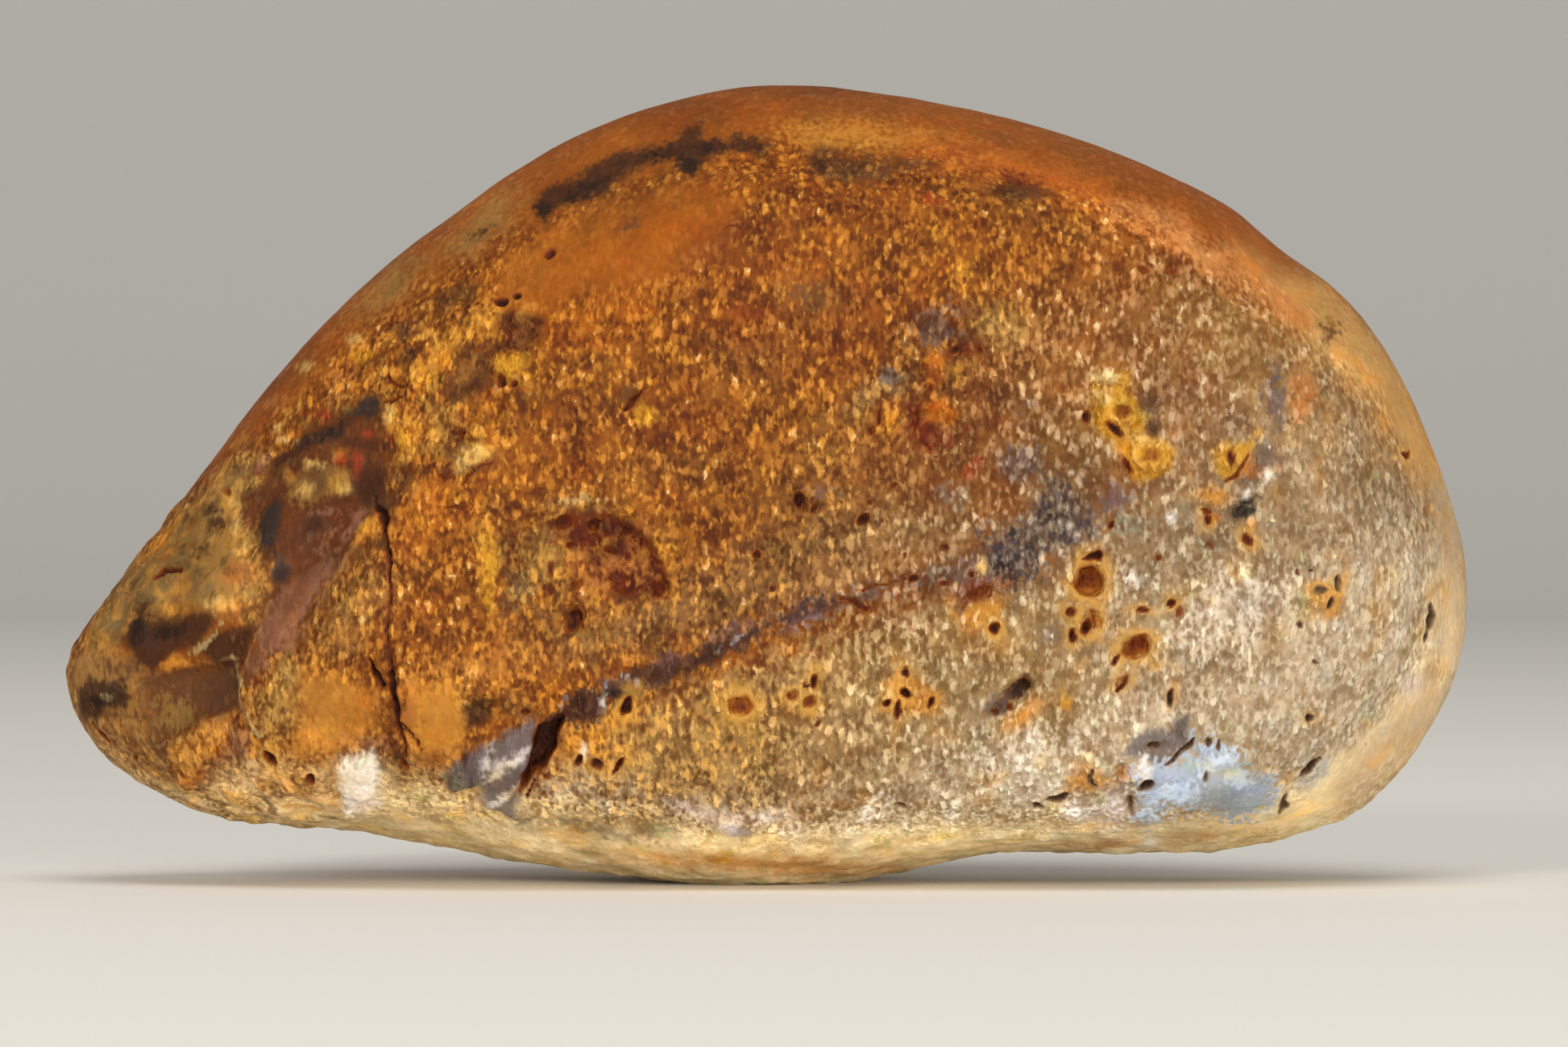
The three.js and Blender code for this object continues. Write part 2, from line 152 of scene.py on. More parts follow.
PITS = [
    # round pits with stained rims
    Pit(14.1, 14.9, 0.85, 0.82, 0.7, 0.62, rim=0.1, halo=1.6),
    Pit(15.1, 17.8, 0.2, 0.2, 0.25, 0.9),
    Pit(16.4, 11.6, 0.82, 0.68, 0.6, 0.62, rim=0.1, halo=1.6),
    Pit(14.1, 13, 0.56, 0.62, 0.5, 0.45, rim=0.09, halo=1.6),
    Pit(13.9, 12.7, 0.28, 0.42, 0.35),
    Pit(-3.3, 8.7, 0.62, 0.58, 0.35, 0.52, rim=0.06, halo=1.9),
    Pit(-0.6, 9.2, 0.35, 0.31, 0.25, 0.5, rim=0.05, halo=1.8),
    Pit(0.2, 8.9, 0.33, 0.35, 0.28, 0.6, rim=0.05, halo=1.8),
    # chips and holes round them
    Pit(13.3, 12.2, 0.37, 0.17, 0.4, turn=80, halo=1.7),
    Pit(13.1, 13.3, 0.2, 0.25, 0.3, halo=1.9),
    Pit(18.2, 13.9, 0.18, 0.22, 0.35, halo=2.2),
    Pit(18.5, 13.3, 0.24, 0.36, 0.2, 0.5),
    Pit(16.7, 13.5, 0.32, 0.13, 0.3, 0.8, turn=10, halo=2),
    Pit(15.4, 11, 0.28, 0.12, 0.3, 0.8, turn=75),
    Pit(15.7, 9.9, 0.55, 0.34, 0.25, 0.3, turn=40, halo=1.3),
    Pit(19.9, 18.4, 0.28, 0.2, 0.3, 0.7),
    Pit(17.5, 16, 0.16, 0.13, 0.2, 0.7),
    # cluster low on the face
    Pit(0.4, 10, 0.42, 0.15, 0.4, 1, turn=80, halo=1.8),
    Pit(0, 9.7, 0.17, 0.11, 0.25),
    Pit(4.9, 10.3, 0.2, 0.16, 0.35, 1, halo=1.8),
    Pit(5, 9.4, 0.35, 0.22, 0.45, 1, turn=-35, halo=1.7),
    Pit(4, 8.9, 0.24, 0.13, 0.3, halo=1.6),
    Pit(4.6, 8.6, 0.4, 0.14, 0.35, turn=82, halo=1.8),
    Pit(6.2, 8.9, 0.28, 0.17, 0.35, turn=75, halo=1.8),
    Pit(4.8, 3.8, 0.13, 0.3, 0.2, 0.6, turn=60),
    Pit(0.5, 7.8, 0.14, 0.15, 0.25, 0.8),
    # dark hollow, and the hollow under the speckled patch
    Pit(10.3, 9.3, 1.05, 0.62, 0.3, 0.1, turn=40),
    Pit(10.9, 9.8, 0.38, 0.28, 0.3, 0.9, turn=40),
    Pit(10.2, 8.7, 0.22, 0.14, 0.25, 0.8),
    Pit(9.4, 8.5, 0.26, 0.18, 0.3, 0.9),
    Pit(8.7, 14.4, 0.8, 0.42, 0.35, 0.6, turn=15),
    Pit(9.4, 12.6, 0.27, 0.27, 0.35, halo=1.6),
    Pit(8.2, 15.3, 0.16, 0.18, 0.25, 0.8),
    # beside and under the vein
    Pit(-8.9, 8.7, 0.57, 0.24, 0.5, turn=75, halo=2),
    Pit(-11.3, 5.9, 0.38, 0.19, 0.4, turn=70, halo=1.4),
    Pit(-10.4, 5.8, 0.38, 0.28, 0.35, 0.8, turn=-35, halo=1.5),
    Pit(-9.3, 5.7, 0.55, 0.17, 0.35, turn=62, halo=1.6),
    Pit(-14, 8.5, 0.31, 0.16, 0.25, 0.8, turn=-10),
    Pit(5.4, 15, 0.25, 0.16, 0.3, turn=25),
    Pit(6.9, 14.8, 0.31, 0.14, 0.25, 0.8, turn=12),
    # upper left, yellow zone
    Pit(-15.1, 28.9, 0.38, 0.2, 0.35, turn=5),
    Pit(-14.3, 29.1, 0.24, 0.2, 0.35),
    Pit(-12.7, 31.2, 0.32, 0.26, 0.35, 0.85, turn=20),
    Pit(-15.2, 24.8, 0.27, 0.29, 0.3, 0.8),
    Pit(-14.5, 24.8, 0.2, 0.22, 0.3, 0.8),
    Pit(-17.3, 22.3, 0.48, 0.15, 0.2, 0.7),
    Pit(-17.2, 29.1, 0.85, 0.55, 0.2, 0.2, turn=20),
    Pit(-14.2, 27.4, 0.95, 0.75, 0.22, 0, turn=-30),
    Pit(-8.4, 23.4, 0.5, 0.42, 0.3, 0.2),
    # rusty hollow and its neighbours
    Pit(-9.7, 16.5, 0.38, 0.28, 0.28, 0.7),
    Pit(-7.1, 14.6, 0.42, 0.56, 0.3, 0.6),
    Pit(-9.3, 14.6, 0.46, 0.27, 0.25, 0.6),
    Pit(-12, 17.9, 0.46, 0.35, 0.3, 0.7, turn=10),
    Pit(-10.7, 17.6, 0.28, 0.32, 0.25, 0.7),
    Pit(-11.7, 16.7, 0.28, 0.28, 0.25, 0.7),
    Pit(-12.7, 15.5, 0.2, 0.39, 0.22, 0.7),
    Pit(-12.7, 14.6, 0.18, 0.44, 0.22, 0.7),
    Pit(-11.4, 14.8, 0.28, 0.23, 0.2, 0.6),
    Pit(-9, 17.3, 0.22, 0.2, 0.22, 0.7),
    Pit(-11.5, 12.9, 0.78, 0.38, 0.45, turn=70),
    # small holes in the middle
    Pit(-0.4, 18.9, 0.48, 0.3, 0.45, 1, turn=-60),
    Pit(0.3, 18.5, 0.18, 0.26, 0.25, 0.8),
    Pit(-2.4, 16.3, 0.2, 0.19, 0.25),
    Pit(-1.6, 14.6, 0.17, 0.18, 0.25, 0.8),
    Pit(2.9, 18, 0.34, 0.28, 0.35, 1),
    Pit(3.2, 18.8, 0.22, 0.13, 0.2, 0.7),
    Pit(4.3, 19.7, 0.18, 0.18, 0.2, 0.7),
    Pit(6.9, 16.6, 0.22, 0.13, 0.2, 0.8),
    Pit(5, 16.2, 0.12, 0.16, 0.2, 0.8),
    # orange hollow
    Pit(3.6, 23.2, 0.47, 0.15, 0.3, turn=82),
    Pit(3.2, 22.4, 0.2, 0.26, 0.25, 0.8),
    Pit(7.5, 26.5, 0.42, 0.26, 0.25, 0.8, turn=30),
    Pit(8.6, 26.4, 0.22, 0.32, 0.2, 0.7),
    Pit(6, 25.5, 0.24, 0.16, 0.2, 0.5, turn=-15),
    Pit(6.1, 24.5, 0.16, 0.31, 0.2, 0.5),
    # yellow lumps
    Pit(15.8, 23.3, 0.52, 0.54, 0.35, 0.42, rim=0.05),
    Pit(15.3, 22.5, 0.45, 0.19, 0.4, turn=-45),
    Pit(14, 23.1, 0.18, 0.25, 0.25),
    Pit(17.1, 21.1, 0.8, 0.5, 0.22, 0.36, turn=10),
    Pit(16, 20.7, 0.43, 0.14, 0.2, 0.7, turn=-65),
    Pit(21.1, 21.1, 0.2, 0.46, 0.3, 0.85),
    # holes at the right
    Pit(19.9, 18, 0.24, 0.28, 0.3, 0.9, halo=1.7),
    Pit(22, 16.9, 0.34, 0.42, 0.25, 0.8, halo=1.5),
    Pit(20, 16.7, 0.24, 0.2, 0.15, 0.6),
    Pit(26.1, 13.8, 0.18, 0.3, 0.3, turn=-10, halo=1.5),
    Pit(26.5, 14.8, 0.18, 0.44, 0.25, 0.6, turn=-10, halo=1.4),
    Pit(25.5, 14.4, 0.5, 0.18, 0.22, 0.5, turn=4, halo=1.3),
    Pit(24.9, 8.1, 0.25, 0.23, 0.3, halo=1.5),
    Pit(24.6, 12.8, 0.17, 0.2, 0.2, 0.7),
    Pit(24.3, 15.4, 0.11, 0.13, 0.15, 0.7),
    Pit(25.1, 15.4, 0.13, 0.13, 0.15, 0.7),
    Pit(25.3, 10.9, 0.12, 0.13, 0.15, 0.7),
    Pit(18.2, 9.2, 0.47, 0.15, 0.3, turn=80, halo=1.5),
    Pit(29.8, 21.2, 0.27, 0.22, 0.25, 0.8, halo=1.4),
    Pit(30.9, 18.5, 0.33, 0.55, 0.15, 0.25),
    # low right, by the grey patch
    Pit(16.9, 4.7, 0.4, 0.29, 0.4, 0.95, turn=20),
    Pit(16.1, 3.8, 0.2, 0.45, 0.25, 0.6, turn=10),
    Pit(17.3, 6.8, 0.38, 0.16, 0.25, 0.8),
    Pit(19.9, 6.9, 0.16, 0.26, 0.2, 0.7),
    Pit(20.5, 6.8, 0.12, 0.25, 0.15, 0.7),
    Pit(19.9, 5.2, 0.16, 0.29, 0.2, 0.6),
    Pit(15.7, 5.4, 0.42, 0.4, 0.22, 0.2),
    Pit(11.5, 3.7, 0.25, 0.13, 0.2, 0.7),
    Pit(23.7, 3.8, 0.58, 0.17, 0.2, 0.6, turn=68),
    # nose
    Pit(-26.5, 6.1, 0.34, 0.52, 0.35, 0.75, turn=20, rim=0.1, halo=1.9),
    Pit(-24.6, 5, 0.28, 0.2, 0.3, 0.8, turn=-40),
    Pit(-33.3, 6.2, 0.16, 0.2, 0.2, 0.7),
    Pit(-28.8, 19.4, 0.26, 0.24, 0.2, 0.5),
    Pit(-19.9, 5.8, 0.3, 0.5, 0.3, 0.6, turn=20),
    # along the top
    Pit(7, 33.3, 0.18, 0.38, 0.15, 0.6),
    Pit(18.2, 30.4, 0.5, 0.46, 0.25, 0.5),
    Pit(16.7, 30.4, 0.38, 0.2, 0.2, 0.5),
    Pit(13.3, 29, 0.19, 0.19, 0.2, 0.7),
    Pit(-3.5, 33.3, 0.34, 0.18, 0.15, 0.5),
]


class Relief(NamedTuple):
    """A raised or, below zero, a sunken shape: ovals, bands and patches as a paint has them. Dark is how
    much painted shade its hollow gets.
    """
    height: float
    soft: float
    dark: float = 0
    ovals: list = []
    bands: list = []
    patches: list = []


RELIEFS = [
    # the yellow lumps, the third lump, and other knobs
    Relief(0.6, 0.8, patches=[
        [(14.2, 24.9), (15.9, 25.2), (16.2, 24.2), (17, 23.2), (16.7, 22.2), (15.3, 21.9), (14.3, 22.7)],
        [(16, 21.9), (17.7, 21.9), (18.3, 21.3), (18, 20.4), (16.6, 19.8), (15.7, 20.9)],
        [(20.1, 21.3), (21.6, 22), (22.6, 22.5), (22.4, 21.1), (22.2, 20.1), (21, 19.8), (20.2, 20.3)]]),
    Relief(0.22, 0.4, ovals=[
        (-14.6, 25.6, 0.95, 0.6), (-16.6, 21, 0.85, 0.6, 20), (-16.4, 22.4, 0.8, 0.6, 40),
        (4.1, 22.9, 0.5, 0.7), (8.9, 15.6, 0.9, 0.5, -20), (14.1, 13.4, 0.3, 0.26),
        (13.9, 16.5, 0.5, 0.25, 20), (-30.5, 5.2, 0.8, 0.6), (-17.5, 19.4, 1.2, 0.5, 10),
        (5.2, 9.2, 1.7, 1, -10), (25.8, 14.2, 1, 0.7)]),
    # the grey plate beside the notch, and the quartz
    Relief(0.45, 0.3, patches=[
        [(-17.9, 5.1), (-16.8, 6.4), (-15.2, 7.1), (-13.8, 8.1), (-13.3, 8.1), (-13.7, 6.3), (-14.4, 4.4),
         (-14, 3.1), (-15.9, 3.9), (-16.3, 4.9), (-17.6, 4.5)],
        [(-23.1, 6.2), (-21.7, 6.4), (-21.2, 4.4), (-22.9, 3.7), (-23.7, 5.5)]]),
    # the notch
    Relief(-0.95, 0.3, 0.88, patches=[
        [(-13.4, 7.9), (-12.6, 8.1), (-12, 8.3), (-12.5, 7.2), (-12.5, 6.6), (-13, 5.7), (-13.6, 5.2),
         (-14.2, 4.2), (-14.1, 5.3), (-13.7, 6.5)]]),
    Relief(-0.4, 0.1, 0.9, bands=[[(-13.4, 5.1, 0.06), (-13.6, 4.6, 0.07), (-13.8, 4.1, 0.05)]]),
    # the crack from the nose's top to the quartz, and its side branches
    Relief(-0.55, 0.14, 0.95, bands=[
        [(-21.2, 18.9, 0.06), (-20.9, 18, 0.22), (-20.8, 17, 0.1), (-20.7, 15, 0.08),
         (-20.85, 13, 0.07), (-20.75, 11, 0.09), (-20.6, 9.6, 0.15), (-20.4, 8.6, 0.15),
         (-20.1, 7.4, 0.07), (-19.9, 6.3, 0.04)],
        [(-21.7, 11.2, 0.05), (-21.5, 10.5, 0.14), (-21, 9.8, 0.12)],
        [(-20.1, 8, 0.05), (-19.6, 7.2, 0.08), (-19.2, 6.4, 0.04)]]),
    # slots, crescents and splits
    Relief(-0.45, 0.2, 0.85, patches=[
        [(13.8, 16), (14.5, 16.5), (14.7, 16.2), (14.6, 15.9), (14, 15.9)]]),
    Relief(-0.4, 0.35, patches=[
        [(20.9, 18.4), (21.4, 18.8), (22, 19.1), (22.6, 19.3), (22.4, 18.7), (21.9, 18.2), (21.6, 17.6)]]),
    Relief(-0.35, 0.13, 0.75, bands=[
        [(-9, 23.5, 0.08), (-8.6, 24, 0.18), (-8, 24.5, 0.1)],
        [(16.1, 10.2, 0.08), (15.9, 9.9, 0.13), (15.5, 9.5, 0.13), (15.4, 9.4, 0.06)],
        [(12.1, 4, 0.08), (12.5, 4.1, 0.15), (12.9, 4.3, 0.09)],
        [(14.2, 5.5, 0.07), (14.2, 5.1, 0.09), (14.4, 4.7, 0.07)],
        [(31.1, 13.7, 0.08), (31.1, 13.3, 0.15), (31, 12.7, 0.12), (30.8, 12, 0.11)],
        [(24.5, 5.3, 0.08), (24.9, 5.6, 0.15), (25.4, 6.1, 0.1)],
        [(1.6, 14.1, 0.06), (2, 14, 0.12), (2.4, 13.9, 0.15), (3.1, 13.6, 0.14)],
        [(19.3, 7.1, 0.07), (18.9, 6.6, 0.1), (18.5, 6.3, 0.1), (17.9, 5.8, 0.07)],
        [(-35.4, 7.9, 0.1), (-34.9, 7.4, 0.14), (-34.5, 7, 0.08)],
        [(-32.4, 15.1, 0.1), (-31.9, 15.5, 0.17), (-31.1, 15.5, 0.15)]]),
    Relief(-0.25, 0.13, 0.65, bands=[
        [(21.9, 21.2, 0.05), (21.3, 20.3, 0.1), (20.8, 19.9, 0.08)],
        [(-20.7, 25.3, 0.1), (-20.7, 24.9, 0.12), (-20.3, 24.7, 0.08), (-19.7, 24.7, 0.06)],
        [(-21, 23.9, 0.07), (-20.4, 24, 0.09), (-20, 24.2, 0.06)],
        [(-17.1, 19.9, 0.08), (-16.4, 20.4, 0.09), (-15.5, 20.9, 0.06)],
        [(-17.9, 18.5, 0.09), (-17.4, 18.6, 0.11), (-16.6, 18.6, 0.08)],
        [(2.6, 14.4, 0.05), (3.2, 14.6, 0.11), (4.3, 14.9, 0.1), (5.1, 15.1, 0.06)],
        [(-4.1, 32.4, 0.05), (-3.8, 32.6, 0.1), (-3.2, 32.5, 0.09), (-3.1, 32.1, 0.05)]]),
    # sunken ground: the rusty hollow, the orange hollow's lower edge, the bruise and the scar
    Relief(-0.3, 0.45, patches=[
        [(-10.9, 18), (-9.6, 18.3), (-8.3, 17.3), (-7.4, 16.3), (-6.8, 15), (-6.9, 14.1), (-9.1, 14.3),
         (-10, 15.1), (-9.8, 16.5), (-10.8, 17.3)]]),
    Relief(-0.35, 0.5, patches=[
        [(5.2, 23.2), (6, 23.8), (7.2, 23.5), (8, 22.5), (7.5, 21.6), (6.5, 21.2), (5.5, 21.8)]]),
    Relief(-0.25, 0.5, patches=[
        [(-33.1, 10), (-31.9, 10.6), (-28.2, 11), (-27.9, 9.6), (-28.2, 8.7), (-30.5, 7.7), (-32.1, 6.6),
         (-32.8, 8.4)]]),
    Relief(-0.22, 0.35, patches=[
        [(-36, 9), (-34.7, 9.9), (-33.5, 9.2), (-34.4, 8.7), (-35.7, 8.2)],
        [(-16.8, 8.6), (-16.1, 9.2), (-14.8, 9), (-15.3, 7.8), (-16.7, 7.6)]]),
]


class Ridge(NamedTuple):
    """A sharp crest [right, up] where two flake scars meet, and how far each side falls away."""
    crest: list
    rise: float
    left_fade: float
    right_fade: float


RIDGES = [
    Ridge([(-27, 7.3), (-27.5, 8.6), (-28, 9.2), (-28, 10), (-27.2, 12.1), (-26.5, 13.9)],
          0.34, 0.9, 2.4),
    Ridge([(-25.8, 11.2), (-24.3, 13.3), (-22.8, 15.8), (-21.2, 18.4)], 0.3, 1.1, 1.6),
    Ridge([(-32.1, 6.7), (-30.4, 7.6), (-28.6, 8.3), (-27.9, 8.6)], 0.26, 1.4, 0.8),
    Ridge([(-33.2, 9.8), (-31.2, 10.8), (-28, 11.2)], 0.22, 0.7, 1),
    Ridge([(-36, 10.6), (-34.4, 13), (-32.4, 15.8)], 0.14, 0.9, 0.9),
]


class Paint(NamedTuple):
    """A marking. Ovals are (right, up, half length, half width), with a turn in degrees where they have
    one, a band's stops are (right, up, half width), and a patch is a closed outline. In millimetres,
    soft is how far its edge fades, ragged how far the edge wanders and grainy how far single grains
    differ. Hides is how much of the crystals' light it keeps back. A marking that goes through is on
    the hidden back too. Limit is how far inside its edge a place may count, so that grains show even
    in its middle."""
    colour: str
    soft: float
    ragged: float
    cover: float
    grainy: float = 0
    hides: float = 0
    ovals: list = []
    bands: list = []
    patches: list = []
    through: bool = False
    limit: float = 20


# Where violet and dark specks lie close together.
SPECKLED = [
    [(12, 19.9), (12.8, 19.8), (13.8, 18.4), (14.1, 17.3), (13, 17.1), (11.8, 17.8), (11.6, 18.8)],
    [(8.6, 17.1), (10.2, 17.3), (12.2, 17.2), (11.8, 15.9), (10.9, 14.7), (10.2, 14.9), (9.4, 15.8)]]

# The markings, each over the ones before it.
PAINTS = {
    "tan": Paint("#907757", 5, 2.6, 0.95, 3.2, through=True, patches=[
        [(8, 9), (10, 14), (17.6, 21.6), (21.6, 25.2), (26, 27), (36, 20), (36, 6), (26, -3), (6, -3)]]),
    "low tan": Paint("#8e724a", 1.3, 1.6, 0.9, 1.6, through=True, patches=[
        [(-12, 6.8), (-6, 9), (0, 11.4), (6, 13.4), (11, 15.6), (14, 10), (14, -3), (-14, 0)]]),
    "golden tan": Paint("#a07a42", 1.4, 1.6, 0.55, 1.2, ovals=[
        (-5.5, 6.8, 6.5, 2.8, 14), (4, 11, 5, 1.6, 18), (-15.2, 10.8, 2.6, 1, 20),
        (-22.6, 13.4, 1, 2.2, -30), (9.5, 13, 3.5, 2.2, 10), (22, 26.6, 5, 2.2, -48),
        (13.6, 21.6, 4, 2, 40)]),
    "hazel": Paint("#855b2a", 3, 1.6, 0.5, 1.2, bands=[
        [(0, 18.5, 2), (3, 19.5, 3.6), (12, 24.5, 3.6), (20, 29, 2)],
        [(21, 24, 0.8), (18, 22.6, 1.2)]]),
    "low pale": Paint("#beaa8e", 2, 1.6, 0.7, 1.6, through=True, patches=[
        [(-17, 1), (-13, 4.6), (-11, 5.6), (-8.4, 3.6), (-3, 3.3), (4, 4.2), (9, 7), (15, 8), (21, 11.4),
         (24.5, 15.5), (29.5, 17.8), (33, 14), (31, 7), (26, 1), (18, -1), (-10, -1)]]),
    "chalky": Paint("#cdbda8", 1, 1.4, 0.8, 1.6, through=True, ovals=[
        (11.4, 5.2, 2.2, 1.8), (20, 2.6, 4, 0.9, 8), (21, 13.4, 2.4, 1.4, 40)]),
    "umber": Paint("#683e10", 1.8, 1.8, 0.62, 1.4, patches=[
        [(4.6, 24.6), (8, 26.2), (13.4, 22.8), (15.4, 20.8), (18, 20), (16, 18), (8.6, 13.2), (5.6, 15),
         (4.8, 19)]]),
    "russet": Paint("#6e3108", 1.8, 1.4, 0.7, 1, 0.45, ovals=[
        (-2.8, 31.4, 3.4, 2, -10), (1.5, 28.8, 3, 1.8), (3, 34.4, 4, 1.2, -5), (-11.4, 22, 1.6, 1.2),
        (6.6, 22.2, 2.8, 2.2, 10), (1.6, 26.6, 2.2, 1.4), (-7, 23, 2, 1.4), (-2, 27.8, 2.2, 1.2, 10),
        (-1.6, 36, 3, 1.2), (8.2, 20.8, 1.8, 1), (8.6, 23.4, 0.9, 1.7)]),
    "olive cloud": Paint("#80623c", 1.4, 1.4, 0.55, 1, bands=[
        [(-12, 11.4, 0.6), (-7, 13.2, 1.3), (0, 15.8, 1.8), (7, 17.6, 1.2)]]),
    "gold cloud": Paint("#b4691a", 1.4, 1.2, 0.55, 0.8, ovals=[
        (-13.4, 31, 3.2, 1.2, 38), (-23.2, 25.6, 2.6, 1.2, 48), (-11, 30.6, 1.8, 1.4, 30),
        (-15.2, 10.4, 2.2, 1.2, 10), (-17.4, 24, 2.4, 2, 30), (-18.8, 18.6, 1.6, 2.6)]),
    # The pale rim is partly the stone's paler bottom edge and partly painted light, lighter to stand in for
    # light thrown up from the floor onto the down-facing rim.
    "pale rim": Paint("#f2d8a4", 0.9, 0.9, 0.9, 0.5, through=True, bands=[
        [(-36.4, 7.2, 0.1), (-34.4, 5.4, 0.4), (-31.5, 4, 0.8), (-28, 4, 1.4), (-24, 3.8, 2.3),
         (-19, 2.9, 2.4), (-9, 1.2, 2), (-1, 0.7, 2.1), (8, 1.4, 1.7), (18, 1.8, 1.4), (24, 2.8, 1.6),
         (29, 6, 1.6), (32, 11, 1.3), (32.2, 15, 0.7)]]),
    "golden rim": Paint("#d4ae76", 0.8, 0.9, 0.65, 0.6, through=True, bands=[
        [(-37, 8.2, 0.4), (-34.6, 6, 0.8), (-31, 4.6, 0.9), (-28, 4.6, 1.5), (-24, 4.8, 1.4)]]),
    "right rim": Paint("#c5a57e", 0.7, 0.5, 0.75, 0.4, through=True, bands=[
        [(31.4, 20.5, 0.6), (32.4, 15.5, 1.1), (32, 11, 1.3), (30.2, 7.4, 1.3), (27, 4.4, 1)]]),
    "shoulder": Paint("#c09050", 1, 0.9, 0.85, 0.4, through=True, bands=[
        [(21.5, 31.2, 0.9), (25.2, 28.4, 1.5), (28.6, 24.8, 1.5), (31, 20.6, 1)]]),
    "top band": Paint("#914c0d", 1, 0.7, 0.85, 0.3, 0.4, through=True, bands=[
        [(-29.4, 21.8, 1), (-24.6, 27.4, 1.5), (-19, 31.9, 1.8), (-12, 36.3, 1.9), (-2, 39.4, 1.9),
         (8, 38.6, 1.8), (17, 35.9, 1.7), (24, 31.4, 1.3)]]),
    # Painted shade: darkens the middle of the top band, where the top light falls brightest.
    "top deep": Paint("#7c3e08", 0.9, 0.8, 0.75, 0.4, 0.4, through=True, bands=[
        [(-8, 38, 1), (0, 39.2, 1.3), (6, 38.6, 1)]]),
    "orange": Paint("#904c06", 1.2, 0.9, 0.85, 0.4, 0.3, ovals=[
        (0.5, 36.2, 4.5, 1.3, -4)], patches=[
        [(-15, 27.6), (-12.6, 31), (-9, 33), (-5, 34.4), (-2, 34.8), (-6, 31), (-8, 27.2), (-12, 26.4)]]),
    "amber": Paint("#b27228", 0.8, 0.8, 0.85, 0.6, 0.2, patches=[
        [(-25.2, 10.4), (-24.1, 11), (-21.8, 9.8), (-21.1, 8.5), (-21, 6.8), (-22.7, 6.2), (-25.4, 5.6),
         (-25.6, 7.4)]]),
    "bright wedge": Paint("#d08a34", 0.7, 0.8, 0.75, 0.6, 0.3, ovals=[
        (-23.6, 7.2, 1.8, 0.7, 5), (-18.6, 7, 1.2, 1), (-11.2, 6.9, 1.1, 0.6, 20), (-25.4, 4.8, 1.4, 0.6)]),
    "orange smooth": Paint("#b87a2a", 0.6, 0.7, 0.9, 0.8, 0.45, ovals=[
        (2.6, 37, 2.8, 0.5, -2)], patches=[
        [(-20.1, 10), (-17.6, 10.2), (-16.6, 7.8), (-17.8, 5.8), (-19.1, 5.8), (-19.7, 7.2)]]),
    "orange red": Paint("#b65d18", 0.9, 0.8, 0.75, 0.4, bands=[
        [(5.5, 36.2, 0.6), (9, 35.7, 0.8), (12, 34.9, 0.9), (15, 33.8, 0.8), (18.5, 32, 0.7),
         (22, 29.8, 0.6), (24.5, 28, 0.4)]]),
    "salmon": Paint("#c58446", 0.6, 0.7, 0.75, 0.4, 0.4, patches=[
        [(15.1, 33.9), (16.6, 33.7), (18.3, 33.1), (20, 31.6), (24.6, 28.4), (24, 27.9), (21.4, 28.9),
         (18.4, 31.8), (16.6, 32.5), (15, 32.9)]]),
    "brown cloud": Paint("#80501f", 1, 1.2, 0.45, 0.8, ovals=[
        (-3, 25.6, 2.4, 1.2, 20), (0.8, 29, 2, 0.9), (11.5, 33.6, 2.8, 0.9, -14),
        (1.8, 22, 2.2, 1.6, 30), (-13.6, 13.6, 1.6, 1.6), (-7, 20.4, 2.6, 1.2, 10),
        (2.6, 38.4, 1.6, 0.5, -5), (9.4, 36.9, 0.9, 0.4, -20), (13.4, 35.9, 0.9, 0.4, -20),
        (6.8, 21.8, 2.6, 2.4)]),
    "ochre": Paint("#c4842a", 0.45, 0.6, 0.85, 0.5, 0.4, ovals=[
        (-17.3, 20.8, 1.2, 0.9), (-15.8, 16.8, 0.5, 1.5, 5), (5.2, 9.2, 1.3, 0.9, -10),
        (4.1, 22.9, 0.46, 0.7), (-20.8, 23.4, 0.3, 0.5), (10.8, 8.3, 1, 0.3, 40), (-2, 0.9, 5, 0.4, -3),
        (7.6, 30.2, 0.4, 0.7), (-10.4, 6.4, 1.3, 0.4), (20.2, 19.2, 0.8, 0.4, -5), (-8.4, 23.3, 0.5, 0.4)],
        bands=[
        [(-9.4, 18.2, 0.14), (-7.8, 17.4, 0.22), (-7, 16.4, 0.28), (-6.6, 15.4, 0.2), (-6.5, 14.5, 0.16)],
        [(-35.9, 11.7, 0.3), (-34.7, 13.3, 0.4), (-33.4, 15.1, 0.4), (-31, 18.2, 0.25)]], patches=[
        [(-19.7, 25.4), (-18.9, 26.4), (-17.4, 27.4), (-17, 26.9), (-17.4, 26), (-18.4, 24.4),
         (-19.5, 24.6)],
        [(-17.2, 27.6), (-16.4, 28.3), (-15.3, 28.5), (-14.9, 28), (-15.2, 26.9), (-16.9, 26.9)],
        [(-20.5, 22.9), (-19.3, 23.1), (-18.7, 22.7), (-19.8, 21.6), (-20.4, 22.1)],
        [(-9.9, 8.8), (-8.8, 9.2), (-8.2, 9.1), (-8.5, 7.9), (-9.7, 7.7)],
        [(-10.8, 7.6), (-9.9, 7.4), (-11.5, 6.6), (-12, 6.2), (-12, 6.9)],
        [(7, 14), (8.2, 13.9), (9.4, 14.2), (10.2, 13.8), (9.6, 12.8), (8.4, 12.6), (7.2, 13.2)],
        [(12.6, 4.4), (12.9, 5.3), (13.8, 5.8), (15.2, 5), (14.4, 4.5)],
        [(24.9, 14.8), (26.1, 14.9), (26.8, 15.2), (26.4, 13.2), (25.8, 13.2), (25.1, 13.9)]]),
    "yellow": Paint("#c28a20", 0.3, 0.35, 0.9, 0.15, 0.7, ovals=[
        (-20.8, 23.3, 0.3, 0.4), (-19.9, 22.1, 0.35, 0.35), (7.4, 25.3, 0.2, 0.3),
        (-4.2, 1.2, 0.47, 0.2, 10), (-22.1, 26.1, 0.4, 0.3), (12.9, 8.9, 0.3, 0.4),
        (-8, 23.2, 0.55, 0.4, -20)], bands=[
